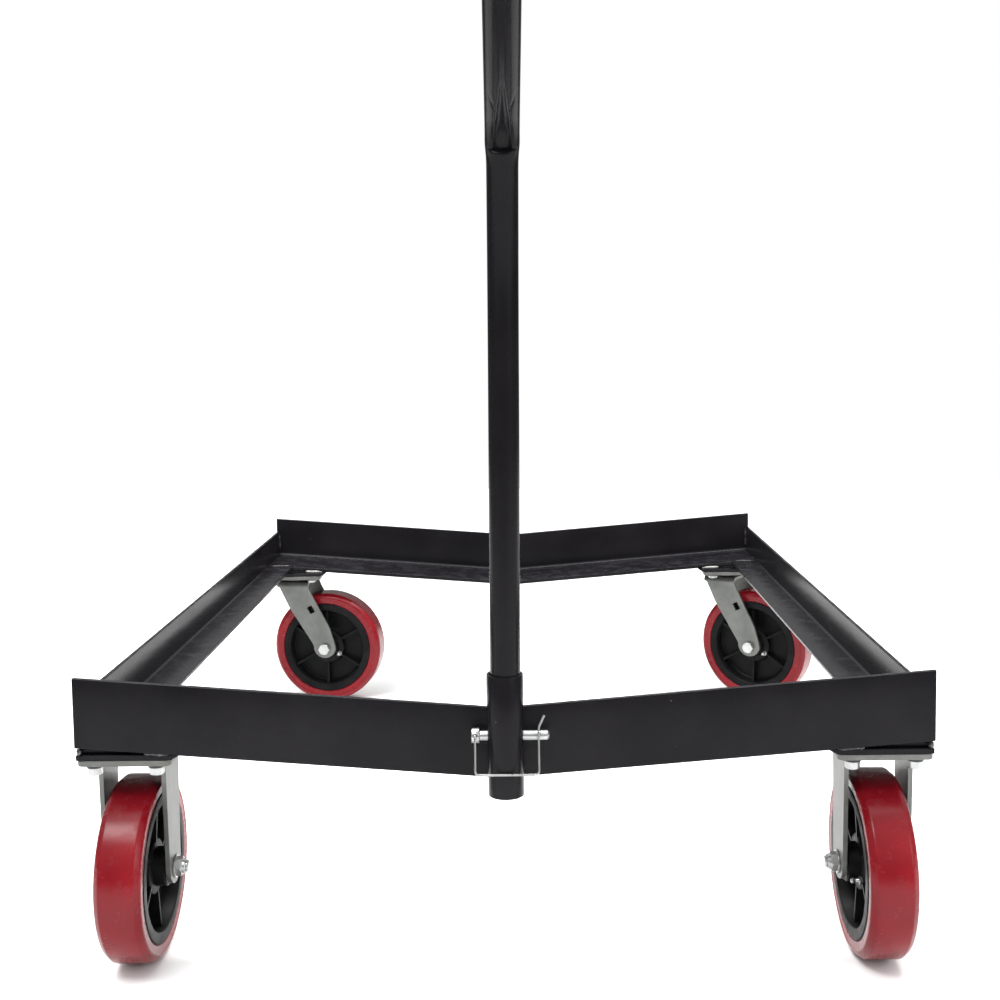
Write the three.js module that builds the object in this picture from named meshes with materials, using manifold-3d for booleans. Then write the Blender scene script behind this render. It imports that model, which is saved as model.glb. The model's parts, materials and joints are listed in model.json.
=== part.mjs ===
// Drum dolly: a low steel frame on four casters, pulled by a post that is pinned into a socket.
// Millimetres, +Z up, +Y away from the handle, X across the frame.
import * as THREE from "three";
import { mergeVertices } from "three/addons/utils/BufferGeometryUtils.js";
import Module from "manifold-3d";

const wasm = await Module();
wasm.setup();

// Clearance left between pieces that touch on the real dolly.
const GAP = 0.3;

// Frame.
const FRAME_WIDTH = 914.4;
const FRAME_LENGTH = 1168.4;
const RAIL_HEIGHT = 76.2;
const RAIL_LEDGE = 120;
const RAIL_THICKNESS = 6.35;
const RAIL_BEND = 6;
const V_SLOPE = 0.079;
const SIDE_LEG = 50.8;
const SIDE_THICKNESS = 4.8;

// Casters.
const WHEEL_RADIUS = 101.6;
const TREAD_WIDTH = 50.8;
const TREAD_SHOULDER = 8;
const CORE_RADIUS = 83;
const CORE_WIDTH = 50;
const RIM_INNER = 70;
const WEB_THICKNESS = 8;
const RIB_THICKNESS = 5;
const RIB_COUNT = 6;
const HUB_RADIUS = 21;
const HUB_LENGTH = 61;
const BEARING_RADIUS = 17.5;
const SLEEVE_RADIUS = 12.4;
const AXLE_RADIUS = 6.35;
const CASTER_HEIGHT = 241.3;
const PLATE_X = 101.6;
const PLATE_Y = 114.3;
const PLATE_THICKNESS = 6.35;
const FORK_OUTER = 74;
const FORK_THICKNESS = 5;
const BOLT_SPACING_X = 66.7;
const BOLT_SPACING_Y = 92.1;
const BOLT_RADIUS = 4.76;
const BOLT_HEAD = 8.4;
const BOLT_WASHER = 2.6;
const SWIVEL_OFFSET = 60;
const CROWN_TOP = 228;
const KINGPIN_RADIUS = 8;
const RACEWAY_RADIUS = 33;
const MOUNT_PLATE_X = 104;
const MOUNT_PLATE_THICKNESS = 6;
const CASTER_X = FRAME_WIDTH / 2 - PLATE_X / 2;
const FRONT_CASTER_Y = -FRAME_LENGTH / 2 + 60;
const REAR_CASTER_Y = FRAME_LENGTH / 2 - 72;
const LEFT_SWIVEL = 82;
const RIGHT_SWIVEL = 57;

// Underside of the cross rails at their raised ends.
const MOUNT_PLATE_TOP = CASTER_HEIGHT + GAP + MOUNT_PLATE_THICKNESS;
const RAIL_END_BOTTOM = MOUNT_PLATE_TOP + GAP + V_SLOPE * MOUNT_PLATE_X;

// Handle socket, post and hitch pin.
const SOCKET_RADIUS = 19.05;
const SOCKET_BORE = 16.5;
const SOCKET_BOTTOM = 210;
const SOCKET_TOP = 339;
const POST_RADIUS = 15.875;
const POST_WALL = 2.4;
const POST_BOTTOM = 218;
const POST_BOW_START = 650;
const POST_BOW_RADIUS = 600;
const POST_BOW_ANGLE = 20;
const POST_BEND_RADIUS = 90;
const POST_ARM_ANGLE = 60;
const POST_ARM = 300;
const POST_X = 4;
const POST_LEAN = 0.5;
const POST_TWIST = 1;
const GRIP_BAR_LENGTH = 320;
const GRIP_LENGTH = 115;
const GRIP_RADIUS = 19.5;
const PIN_Z = 273;
const PIN_RADIUS = 5;
const PIN_HEAD_RADIUS = 7.8;
const PIN_HEAD_START = -35.7;
const PIN_HEAD_LENGTH = 8.5;
const PIN_TAIL = 46;
const WIRE_RADIUS = 1.2;
const BAIL_TILT = 17;
const BAIL_REACH = 9.8;
const BAIL_DROP = 40;
const BAIL_WIDTH = 66;
const BAIL_RISE = 20;
const BAIL_BENDS = [2.4, 5, 5, 12];
const POST_Y = -FRAME_LENGTH / 2 - GAP - SOCKET_RADIUS;

const MATERIALS = {
  blackPaint: { color: 0x151416, roughness: 0.28, metalness: 0.1 },
  zincSatin: { color: 0x9a9c94, roughness: 0.38, metalness: 0.85 },
  zincBright: { color: 0xc4c6c8, roughness: 0.25, metalness: 0.95 },
  polyurethane: { color: 0xa8262f, roughness: 0.45, metalness: 0 },
  coreIron: { color: 0x1b1b1d, roughness: 0.5, metalness: 0.3 },
  bearingSteel: { color: 0x8d8f93, roughness: 0.3, metalness: 0.9 },
  gripRubber: { color: 0x111112, roughness: 0.8, metalness: 0 },
};

const radians = THREE.MathUtils.degToRad;

// ---- Solids -------------------------------------------------------------------------------

// Bare indexed triangles with vertices joined by position.
function bare(geometry) {
  const positions = new THREE.BufferGeometry();
  positions.setAttribute("position", geometry.getAttribute("position").clone());
  if (geometry.index) positions.setIndex(geometry.index.clone());
  return mergeVertices(positions, 1e-4);
}

// Solid for joining and cutting; turned the right way out when its faces point inward.
function solid(geometry) {
  const joined = bare(geometry);
  const vertProperties = new Float32Array(joined.getAttribute("position").array);
  const triVerts = Uint32Array.from(joined.index.array);
  if (signedVolume(vertProperties, triVerts) < 0) {
    for (let i = 0; i < triVerts.length; i += 3) {
      const second = triVerts[i + 1];
      triVerts[i + 1] = triVerts[i + 2];
      triVerts[i + 2] = second;
    }
  }
  return new wasm.Manifold(new wasm.Mesh({ numProp: 3, vertProperties, triVerts }));
}

function signedVolume(vertices, triangles) {
  const corner = (i) => new THREE.Vector3().fromArray(vertices, triangles[i] * 3);
  let volume = 0;
  for (let i = 0; i < triangles.length; i += 3) {
    volume += corner(i).dot(corner(i + 1).cross(corner(i + 2)));
  }
  return volume;
}

function geometryOf(manifold) {
  const result = manifold.getMesh();
  const geometry = new THREE.BufferGeometry();
  const positions = new Float32Array(result.numVert * 3);
  for (let i = 0; i < result.numVert; i += 1) {
    for (let k = 0; k < 3; k += 1) {
      positions[i * 3 + k] = result.vertProperties[i * result.numProp + k];
    }
  }
  geometry.setAttribute("position", new THREE.BufferAttribute(positions, 3));
  geometry.setIndex(new THREE.BufferAttribute(Uint32Array.from(result.triVerts), 1));
  return geometry;
}

function box(sizeX, sizeY, sizeZ, x, y, z) {
  return new THREE.BoxGeometry(sizeX, sizeY, sizeZ).translate(x, y, z);
}

// Round bar along X from x0 to x1.
function barX(radius, x0, x1, segments = 24) {
  const bar = new THREE.CylinderGeometry(radius, radius, x1 - x0, segments);
  return bar.rotateZ(Math.PI / 2).translate((x0 + x1) / 2, 0, 0);
}

// Round bar along Z from z0 to z1.
function barZ(radius, z0, z1, segments = 24) {
  const bar = new THREE.CylinderGeometry(radius, radius, z1 - z0, segments);
  return bar.rotateX(Math.PI / 2).translate(0, 0, (z0 + z1) / 2);
}

// Ring turned about X: the outline lists [x, radius] pairs and closes on itself.
function turnedX(outline, segments = 40) {
  const points = [...outline, outline[0]].map(([x, radius]) => new THREE.Vector2(radius, x));
  return new THREE.LatheGeometry(points, segments).rotateZ(-Math.PI / 2);
}

// Flat outline in (Y, Z), thickened along X from x0 to x1.
function slabX(shape, x0, x1, curveSegments = 12) {
  const slab = new THREE.ExtrudeGeometry(shape, {
    depth: x1 - x0, bevelEnabled: false, curveSegments,
  });
  slab.rotateX(Math.PI / 2);
  slab.rotateZ(Math.PI / 2);
  return slab.translate(x0, 0, 0);
}

// Outline carried through a list of stations, each a function from outline point to space.
function loft(outline, stations) {
  const positions = [];
  const index = [];
  const count = outline.length;
  for (const place of stations) {
    for (const point of outline) positions.push(...place(point).toArray());
  }
  for (let s = 0; s < stations.length - 1; s += 1) {
    for (let i = 0; i < count; i += 1) {
      const a = s * count + i;
      const b = s * count + ((i + 1) % count);
      index.push(a, b, b + count, a, b + count, a + count);
    }
  }
  const last = (stations.length - 1) * count;
  for (const [a, b, c] of THREE.ShapeUtils.triangulateShape(outline, [])) {
    index.push(a, c, b, last + a, last + b, last + c);
  }
  const geometry = new THREE.BufferGeometry();
  geometry.setAttribute("position", new THREE.Float32BufferAttribute(positions, 3));
  geometry.setIndex(index);
  return geometry;
}

function circle(radius, segments) {
  const points = [];
  for (let i = 0; i < segments; i += 1) {
    const angle = (2 * Math.PI * i) / segments;
    points.push(new THREE.Vector2(radius * Math.cos(angle), radius * Math.sin(angle)));
  }
  return points;
}

function mesh(name, geometry, materialName) {
  const { color, roughness, metalness } = MATERIALS[materialName];
  const material = new THREE.MeshStandardMaterial({ color, roughness, metalness });
  material.name = materialName;
  const piece = new THREE.Mesh(geometry, material);
  piece.name = name;
  return piece;
}

// ---- Frame --------------------------------------------------------------------------------

// Angle section: upright leg on the outside, ledge pointing inward, rounded at the bend.
function angleSection(height, ledge, thickness, bend) {
  const points = [new THREE.Vector2(ledge, 0), new THREE.Vector2(ledge, thickness)];
  const arc = (centreY, centreZ, radius, from, to) => {
    for (let i = 0; i <= 4; i += 1) {
      const angle = radians(from + ((to - from) * i) / 4);
      const y = centreY + radius * Math.cos(angle);
      points.push(new THREE.Vector2(y, centreZ + radius * Math.sin(angle)));
    }
  };
  arc(thickness + bend, thickness + bend, bend, 270, 180);
  arc(thickness - 1.5, height - 1.5, 1.5, 0, 90);
  points.push(new THREE.Vector2(0, height));
  arc(1.5, 1.5, 1.5, 180, 270);
  return points;
}

// Cross rail: both halves rise from the middle to the ends; the ends are cut plumb.
function crossRail(facing) {
  const section = angleSection(RAIL_HEIGHT, RAIL_LEDGE, RAIL_THICKNESS, RAIL_BEND);
  const stations = [-FRAME_WIDTH / 2, 0, FRAME_WIDTH / 2].map((x) => (point) => {
    const rise = V_SLOPE * (Math.abs(x) - FRAME_WIDTH / 2);
    const y = facing * (FRAME_LENGTH / 2 - point.x);
    return new THREE.Vector3(x, y, RAIL_END_BOTTOM + rise + point.y);
  });
  return geometryOf(solid(loft(section, stations)));
}

// Side rail: level angle between the cross rails; its upright leg runs on over their ledges.
function sideRail(side) {
  const section = angleSection(SIDE_LEG, SIDE_LEG, SIDE_THICKNESS, 3);
  const halfClear = FRAME_LENGTH / 2 - RAIL_LEDGE - GAP;
  const stations = [-halfClear, halfClear].map((y) => (point) => {
    return new THREE.Vector3(side * (FRAME_WIDTH / 2 - point.x), y, RAIL_END_BOTTOM + point.y);
  });
  const foot = RAIL_END_BOTTOM + RAIL_THICKNESS + GAP;
  const top = RAIL_END_BOTTOM + SIDE_LEG;
  const upright = box(
    SIDE_THICKNESS, FRAME_LENGTH - 2 * (RAIL_THICKNESS + GAP), top - foot,
    side * (FRAME_WIDTH - SIDE_THICKNESS) / 2, 0, (top + foot) / 2,
  );
  let rail = solid(loft(section, stations)).add(solid(upright));
  for (const end of [-1, 1]) {
    const y = end * (FRAME_LENGTH / 2 - RAIL_THICKNESS - RAIL_BEND / 2);
    const x = side * (FRAME_WIDTH - SIDE_THICKNESS) / 2;
    const bendRelief = box(SIDE_THICKNESS + 1, RAIL_BEND + 1, 2 * RAIL_BEND, x, y, foot);
    rail = rail.subtract(solid(bendRelief));
  }
  return geometryOf(rail);
}

// Level plate welded under the end of a sloping cross rail; the caster bolts screw into it.
function mountPlate(holes) {
  let plate = solid(box(MOUNT_PLATE_X, PLATE_Y, MOUNT_PLATE_THICKNESS, 0, 0, 0));
  for (const [x, y] of holes) {
    plate = plate.subtract(solid(barZ(BOLT_RADIUS + GAP, -10, 10, 12).translate(x, y, 0)));
  }
  return geometryOf(plate);
}

// ---- Casters ------------------------------------------------------------------------------

function boltPlaces() {
  const x = BOLT_SPACING_X / 2;
  const y = BOLT_SPACING_Y / 2;
  return [[-x, -y], [x, -y], [x, y], [-x, y]];
}

function topPlate(centreHole) {
  const corner = 8;
  const shape = new THREE.Shape();
  const x = PLATE_X / 2;
  const y = PLATE_Y / 2;
  shape.absarc(x - corner, y - corner, corner, 0, Math.PI / 2);
  shape.absarc(corner - x, y - corner, corner, Math.PI / 2, Math.PI);
  shape.absarc(corner - x, corner - y, corner, Math.PI, 1.5 * Math.PI);
  shape.absarc(x - corner, corner - y, corner, 1.5 * Math.PI, 2 * Math.PI);
  const slab = new THREE.ExtrudeGeometry(shape, {
    depth: PLATE_THICKNESS, bevelEnabled: false, curveSegments: 4,
  });
  let plate = solid(slab.translate(0, 0, CASTER_HEIGHT - PLATE_THICKNESS));
  for (const [bx, by] of boltPlaces()) {
    const hole = barZ(BOLT_RADIUS + GAP, CASTER_HEIGHT - 10, CASTER_HEIGHT + 5, 12);
    plate = plate.subtract(solid(hole.translate(bx, by, 0)));
  }
  if (centreHole > 0) {
    plate = plate.subtract(solid(barZ(centreHole, CASTER_HEIGHT - 10, CASTER_HEIGHT + 5, 24)));
  }
  return geometryOf(plate);
}

// Hex-head bolt standing head-down under the top plate and screwed into the mount plate.
function mountBolt(x, y) {
  const top = CASTER_HEIGHT - PLATE_THICKNESS - GAP;
  const head = barZ(8.25, top - BOLT_WASHER - BOLT_HEAD, top - BOLT_WASHER + 0.1, 6);
  const face = barZ(9.2, top - BOLT_WASHER, top, 16);
  const shank = barZ(BOLT_RADIUS, top - 1, MOUNT_PLATE_TOP - 0.2, 12);
  return geometryOf(solid(head).add(solid(face)).add(solid(shank)).translate([x, y, 0]));
}

// Channel-shaped blank of a fork: two legs and the bridge over the tyre, seen along Y.
function forkChannel(top, y0, y1) {
  const channel = (half, height, radius) => {
    const shape = new THREE.Shape();
    shape.moveTo(-half, 40);
    shape.lineTo(half, 40);
    shape.lineTo(half, height - radius);
    shape.absarc(half - radius, height - radius, radius, 0, Math.PI / 2);
    shape.absarc(radius - half, height - radius, radius, Math.PI / 2, Math.PI);
    const blank = new THREE.ExtrudeGeometry(shape, {
      depth: y1 - y0, bevelEnabled: false, curveSegments: 5,
    });
    return solid(blank.rotateX(Math.PI / 2).translate(0, y1, 0));
  };
  const outer = channel(FORK_OUTER / 2, top, 9);
  const innerHalf = FORK_OUTER / 2 - FORK_THICKNESS;
  return outer.subtract(channel(innerHalf, top - FORK_THICKNESS, 4).translate([0, 0, -0.001]));
}

// Leg outline from its foot round the axle up to the top.
function legOutline(points) {
  const shape = new THREE.Shape();
  points.forEach(([y, z], i) => (i === 0 ? shape.moveTo(y, z) : shape.lineTo(y, z)));
  return shape;
}

// Points on an arc about (centreY, centreZ), for the rounded foot of a leg.
function footArc(centreY, centreZ, radius, from, to, steps) {
  return Array.from({ length: steps + 1 }, (_, i) => {
    const angle = radians(from + ((to - from) * i) / steps);
    return [centreY + radius * Math.cos(angle), centreZ + radius * Math.sin(angle)];
  });
}

function rigidFork() {
  const top = CASTER_HEIGHT - PLATE_THICKNESS - GAP;
  const outline = legOutline([
    [27, top + 5], [-27, top + 5], ...footArc(0, WHEEL_RADIUS + 4, 22, 182, 358, 12),
  ]);
  const legs = solid(slabX(outline, -60, 60));
  const axleHole = solid(barX(AXLE_RADIUS + GAP, -60, 60, 24).translate(0, 0, WHEEL_RADIUS));
  return geometryOf(forkChannel(top, -50, 50).intersect(legs).subtract(axleHole));
}

// Swivel fork about its kingpin: the legs rake back to the trailing axle.
function swivelFork() {
  const axle = [-SWIVEL_OFFSET, WHEEL_RADIUS];
  const at = ([y, z]) => [axle[0] + y, axle[1] + z];
  const outline = legOutline([
    [30, CROWN_TOP + 5], [-30, CROWN_TOP + 5], at([28, 112]), at([19, 95]), at([-10, 40]),
    ...footArc(axle[0], axle[1] + 4, 21, 165, 318, 12), at([26, 0]), at([67.5, 79]), at([89, 124]),
  ]);
  const legs = solid(slabX(outline, -60, 60));
  const axleHole = barX(AXLE_RADIUS + GAP, -60, 60, 24).translate(0, axle[0], axle[1]);
  const kingpinHole = barZ(KINGPIN_RADIUS + GAP, CROWN_TOP - 20, CROWN_TOP + 10, 24);
  const window = box(120, 10, 14, 0, 0, 0).rotateX(radians(-28));
  const slot = window.translate(0, axle[0] + 25, axle[1] + 74);
  let fork = forkChannel(CROWN_TOP, -100, 60).intersect(legs);
  for (const cut of [axleHole, kingpinHole, slot]) fork = fork.subtract(solid(cut));
  return geometryOf(fork);
}

function raceway() {
  const bottom = CROWN_TOP + GAP;
  const top = CASTER_HEIGHT - PLATE_THICKNESS - GAP;
  const inner = KINGPIN_RADIUS + GAP;
  const outline = [
    [bottom, inner], [bottom, RACEWAY_RADIUS - 3], [bottom + 2, RACEWAY_RADIUS],
    [top, RACEWAY_RADIUS], [top, inner],
  ];
  return turnedX(outline, 28).rotateY(-Math.PI / 2);
}

function kingpin() {
  const outline = [
    [CROWN_TOP - FORK_THICKNESS - GAP - 7, 0], [CROWN_TOP - FORK_THICKNESS - GAP - 5, 11],
    [CROWN_TOP - FORK_THICKNESS - GAP, 14], [CROWN_TOP - FORK_THICKNESS - GAP, KINGPIN_RADIUS],
    [CASTER_HEIGHT, KINGPIN_RADIUS], [CASTER_HEIGHT, 0],
  ];
  const points = outline.map(([z, radius]) => new THREE.Vector2(radius, z));
  return new THREE.LatheGeometry(points, 24).rotateX(Math.PI / 2);
}

function tyre() {
  const half = TREAD_WIDTH / 2;
  const inner = CORE_RADIUS + GAP;
  const shoulder = (side) => Array.from({ length: 4 }, (_, i) => {
    const angle = radians(90 * (side < 0 ? i / 3 : 1 - i / 3));
    const x = half - TREAD_SHOULDER * (1 - Math.cos(angle));
    const radius = WHEEL_RADIUS - TREAD_SHOULDER * 0.8 * (1 - Math.sin(angle));
    return [side * x, radius];
  });
  return turnedX([[-half, inner], ...shoulder(-1), ...shoulder(1), [half, inner]], 48);
}

function wheelCore() {
  const rim = CORE_WIDTH / 2;
  const web = WEB_THICKNESS / 2;
  const hub = HUB_LENGTH / 2;
  const bore = BEARING_RADIUS + GAP;
  const outline = [
    [-rim, RIM_INNER], [-rim, CORE_RADIUS], [rim, CORE_RADIUS], [rim, RIM_INNER],
    [web, RIM_INNER - 3], [web, HUB_RADIUS + 3], [rim, HUB_RADIUS], [hub, HUB_RADIUS], [hub, bore],
    [-hub, bore], [-hub, HUB_RADIUS], [-rim, HUB_RADIUS], [-web, HUB_RADIUS + 3],
    [-web, RIM_INNER - 3],
  ];
  let core = solid(turnedX(outline, 32));
  const ribLength = RIM_INNER - HUB_RADIUS + 4;
  for (let i = 0; i < RIB_COUNT; i += 1) {
    const rib = box(CORE_WIDTH - 8, RIB_THICKNESS, ribLength, 0, 0, HUB_RADIUS - 2 + ribLength / 2);
    core = core.add(solid(rib.rotateX((2 * Math.PI * i) / RIB_COUNT)));
  }
  return geometryOf(core);
}

function bearing() {
  const half = HUB_LENGTH / 2 - 1;
  const inner = SLEEVE_RADIUS + GAP;
  return turnedX([[-half, inner], [-half, BEARING_RADIUS], [half, BEARING_RADIUS], [half, inner]], 24);
}

function sleeve() {
  const half = FORK_OUTER / 2 - FORK_THICKNESS - GAP;
  const inner = AXLE_RADIUS + GAP;
  return turnedX([[-half, inner], [-half, SLEEVE_RADIUS], [half, SLEEVE_RADIUS], [half, inner]], 24);
}

// Hex axle bolt: head outside one leg, thread standing proud of the other.
function axleBolt(headSide) {
  const face = FORK_OUTER / 2 + GAP;
  const head = barX(11, -face - 8, -face, 6);
  const shank = barX(AXLE_RADIUS, -face - 1, face + 15, 24);
  const bolt = geometryOf(solid(head).add(solid(shank)));
  return headSide > 0 ? bolt.rotateZ(Math.PI) : bolt;
}

function lockNut(headSide) {
  const face = FORK_OUTER / 2 + GAP;
  const body = solid(barX(11, face, face + 8.5, 6));
  const collar = solid(barX(8.6, face + 8, face + 12, 24));
  const bore = solid(barX(AXLE_RADIUS + GAP, face - 1, face + 14, 24));
  const nut = geometryOf(body.add(collar).subtract(bore));
  return headSide > 0 ? nut.rotateZ(Math.PI) : nut;
}

// Parts that turn with one wheel and the parts the wheel turns on.
function wheelSet(prefix, headSide) {
  const set = new THREE.Group();
  set.add(mesh(`${prefix}_tyre`, tyre(), "polyurethane"));
  set.add(mesh(`${prefix}_wheel_core`, wheelCore(), "coreIron"));
  set.add(mesh(`${prefix}_wheel_bearing`, bearing(), "bearingSteel"));
  set.add(mesh(`${prefix}_hub_sleeve`, sleeve(), "bearingSteel"));
  set.add(mesh(`${prefix}_axle_bolt`, axleBolt(headSide), "zincBright"));
  set.add(mesh(`${prefix}_axle_nut`, lockNut(headSide), "zincBright"));
  return set;
}

function casterBase(prefix, x, y, swivels) {
  const base = new THREE.Group();
  base.add(mesh(`${prefix}_top_plate`, topPlate(swivels ? KINGPIN_RADIUS + GAP : 0), "zincSatin"));
  if (swivels) {
    base.add(mesh(`${prefix}_raceway`, raceway(), "zincSatin"));
    base.add(mesh(`${prefix}_kingpin`, kingpin(), "zincBright"));
  } else {
    boltPlaces().forEach(([bx, by], i) => {
      base.add(mesh(`${prefix}_mount_bolt_${i + 1}`, mountBolt(bx, by), "zincBright"));
    });
  }
  base.position.set(x, y, 0);
  return base;
}

function rigidCaster(prefix, x, headSide) {
  const caster = new THREE.Group();
  const set = wheelSet(prefix, headSide);
  set.position.set(0, 0, WHEEL_RADIUS);
  caster.add(mesh(`${prefix}_fork`, rigidFork(), "zincSatin"), set);
  caster.position.set(x, FRONT_CASTER_Y, 0);
  return caster;
}

function swivelCaster(prefix, x, turn, headSide) {
  const caster = new THREE.Group();
  const set = wheelSet(prefix, headSide);
  set.position.set(0, -SWIVEL_OFFSET, WHEEL_RADIUS);
  caster.add(mesh(`${prefix}_fork`, swivelFork(), "zincSatin"), set);
  caster.position.set(x, REAR_CASTER_Y, 0);
  caster.rotation.z = radians(turn);
  return caster;
}

// ---- Handle -------------------------------------------------------------------------------

function socket() {
  const tube = solid(barZ(SOCKET_RADIUS, SOCKET_BOTTOM, SOCKET_TOP, 40));
  const bore = solid(barZ(SOCKET_BORE, SOCKET_BOTTOM - 5, SOCKET_TOP + 5, 40));
  const hole = solid(barX(PIN_RADIUS + GAP, -40, 40, 24).translate(0, 0, PIN_Z));
  return geometryOf(tube.subtract(bore).subtract(hole));
}

// Centre line of the post: upright, a long bow toward the user, a tight bend, then a straight arm.
// Each place holds its turn from upright and, in the tight bend, how far through the bend it is.
function postLine() {
  const places = [{ y: 0, z: POST_BOTTOM, turn: 0, bend: 0 }];
  let start = { y: 0, z: POST_BOW_START };
  const bendArc = (radius, from, to, steps, tight) => {
    for (let i = 0; i <= steps; i += 1) {
      const turn = radians(from + ((to - from) * i) / steps);
      const y = start.y + radius * (Math.cos(turn) - Math.cos(radians(from)));
      const z = start.z + radius * (Math.sin(turn) - Math.sin(radians(from)));
      if (i > 0 || !tight) places.push({ y, z, turn, bend: tight ? i / steps : 0 });
    }
    start = places[places.length - 1];
  };
  bendArc(POST_BOW_RADIUS, 0, POST_BOW_ANGLE, 4, false);
  bendArc(POST_BEND_RADIUS, POST_BOW_ANGLE, POST_ARM_ANGLE, 12, true);
  const turn = radians(POST_ARM_ANGLE);
  const arm = (distance) => ({
    y: start.y - distance * Math.sin(turn), z: start.z + distance * Math.cos(turn), turn, bend: 1,
  });
  return { places, arm };
}

// Bar following the post line; the bend is squeezed wide and dented on its inner side.
function postBar(radius, startDrop, armLength) {
  const line = postLine();
  const [bottom, ...bends] = line.places;
  const start = { ...bottom, z: bottom.z - startDrop };
  const stations = [start, ...bends, line.arm(40), line.arm(armLength)].map((place) => {
    const squeeze = Math.sin(Math.PI * place.bend) ** 2;
    const crease = Math.exp(-(((place.bend - 0.5) / 0.12) ** 2));
    return (point) => {
      const inner = Math.max(0, -point.y / radius);
      const across = point.x * (1 + 0.07 * squeeze);
      const depth = point.y * (1 - 0.1 * squeeze) + 4.5 * crease * inner ** 3;
      const y = place.y + depth * Math.cos(place.turn);
      return new THREE.Vector3(across, y, place.z + depth * Math.sin(place.turn));
    };
  });
  return solid(loft(circle(radius, 28), stations));
}

function gripBarPlace() {
  const line = postLine();
  return line.arm(POST_ARM);
}

function post() {
  const bar = gripBarPlace();
  const saddle = barX(POST_RADIUS + GAP, -60, 60, 28).translate(0, bar.y, bar.z);
  const hole = barX(PIN_RADIUS + 2 * GAP, -40, 40, 24).translate(0, 0, PIN_Z);
  const tube = postBar(POST_RADIUS, 0, POST_ARM)
    .subtract(postBar(POST_RADIUS - POST_WALL, 5, POST_ARM + 5));
  return geometryOf(tube.subtract(solid(saddle)).subtract(solid(hole)));
}

function gripBar() {
  const half = GRIP_BAR_LENGTH / 2;
  const tube = solid(barX(POST_RADIUS, -half, half, 28));
  return geometryOf(tube.subtract(solid(barX(POST_RADIUS - POST_WALL, -half - 5, half + 5, 28))));
}

// Closed-end rubber grip pushed over one end of the grip bar.
function grip(side) {
  const end = GRIP_BAR_LENGTH / 2 + 5;
  const start = end - GRIP_LENGTH;
  const outline = [
    [start, POST_RADIUS + GAP], [start, GRIP_RADIUS + 2], [start + 5, GRIP_RADIUS + 2],
    [start + 8, GRIP_RADIUS], [end - 4, GRIP_RADIUS], [end, GRIP_RADIUS - 4], [end, 0],
    [end - 5 + GAP, 0], [end - 5 + GAP, POST_RADIUS + GAP],
  ];
  const points = outline.map(([x, radius]) => new THREE.Vector2(radius, x));
  points.push(points[0].clone());
  const sleeveShape = new THREE.LatheGeometry(points, 28).rotateZ(-Math.PI / 2);
  return side > 0 ? sleeveShape : sleeveShape.rotateZ(Math.PI);
}

// Frame of the wire bail: down its own plane, and out of that plane toward the user.
const bailDown = new THREE.Vector3(0, -Math.sin(radians(BAIL_TILT)), -Math.cos(radians(BAIL_TILT)));
const bailOut = new THREE.Vector3(0, -Math.cos(radians(BAIL_TILT)), Math.sin(radians(BAIL_TILT)));
const HOLE_X = PIN_HEAD_START + PIN_HEAD_LENGTH / 2;

function hitchPin() {
  const head = PIN_HEAD_START + PIN_HEAD_LENGTH;
  const outline = [
    [PIN_HEAD_START, 0], [PIN_HEAD_START, PIN_HEAD_RADIUS - 1], [PIN_HEAD_START + 1, PIN_HEAD_RADIUS],
    [head - 1, PIN_HEAD_RADIUS], [head, PIN_HEAD_RADIUS - 1], [head, PIN_RADIUS],
    [PIN_TAIL - 1.5, PIN_RADIUS], [PIN_TAIL, PIN_RADIUS - 1.5], [PIN_TAIL, 0],
  ];
  const points = outline.map(([x, radius]) => new THREE.Vector2(radius, x));
  const bar = new THREE.LatheGeometry(points, 28).rotateZ(-Math.PI / 2);
  const hole = new THREE.CylinderGeometry(WIRE_RADIUS + 0.45, WIRE_RADIUS + 0.45, 40, 14);
  hole.applyQuaternion(new THREE.Quaternion().setFromUnitVectors(new THREE.Vector3(0, 1, 0), bailOut));
  return geometryOf(solid(bar).subtract(solid(hole.translate(HOLE_X, 0, 0))));
}

// Corner points joined by straight wire with a rounded bend at each inner corner.
function wirePath(corners, radii) {
  const path = [corners[0].clone()];
  for (let i = 1; i < corners.length - 1; i += 1) {
    const before = corners[i - 1].clone().sub(corners[i]).normalize();
    const after = corners[i + 1].clone().sub(corners[i]).normalize();
    const reach = radii[i - 1] / Math.tan(before.angleTo(after) / 2);
    const from = corners[i].clone().addScaledVector(before, reach);
    const to = corners[i].clone().addScaledVector(after, reach);
    const bend = new THREE.QuadraticBezierCurve3(from, corners[i], to);
    path.push(...bend.getPoints(5));
  }
  path.push(corners[corners.length - 1].clone());
  return path;
}

// Round wire along a path, its section carried round each bend without twisting.
function wire(path, radius, segments) {
  const tangents = path.map((_, i) => {
    const ahead = path[Math.min(i + 1, path.length - 1)];
    return ahead.clone().sub(path[Math.max(i - 1, 0)]).normalize();
  });
  let side = new THREE.Vector3(1, 0.01, 0.02).cross(tangents[0]).normalize();
  const stations = path.map((centre, i) => {
    const tangent = tangents[i];
    side = side.clone().addScaledVector(tangent, -side.dot(tangent)).normalize();
    const across = side.clone();
    const up = tangent.clone().cross(across);
    return (point) => centre.clone().addScaledVector(across, point.x).addScaledVector(up, point.y);
  });
  return geometryOf(solid(loft(circle(radius, segments), stations)));
}

function bail() {
  const at = (x, down, out) => new THREE.Vector3(HOLE_X + x, 0, 0)
    .addScaledVector(bailDown, down)
    .addScaledVector(bailOut, out);
  const corners = [
    at(0, 0, -PIN_HEAD_RADIUS - 2.5), at(0, 0, BAIL_REACH), at(0, BAIL_DROP, BAIL_REACH),
    at(BAIL_WIDTH, BAIL_DROP, BAIL_REACH), at(BAIL_WIDTH, -8, BAIL_REACH),
    at(BAIL_WIDTH + 6, -BAIL_RISE, BAIL_REACH),
  ];
  return wire(wirePath(corners, BAIL_BENDS), WIRE_RADIUS, 10);
}

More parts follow.
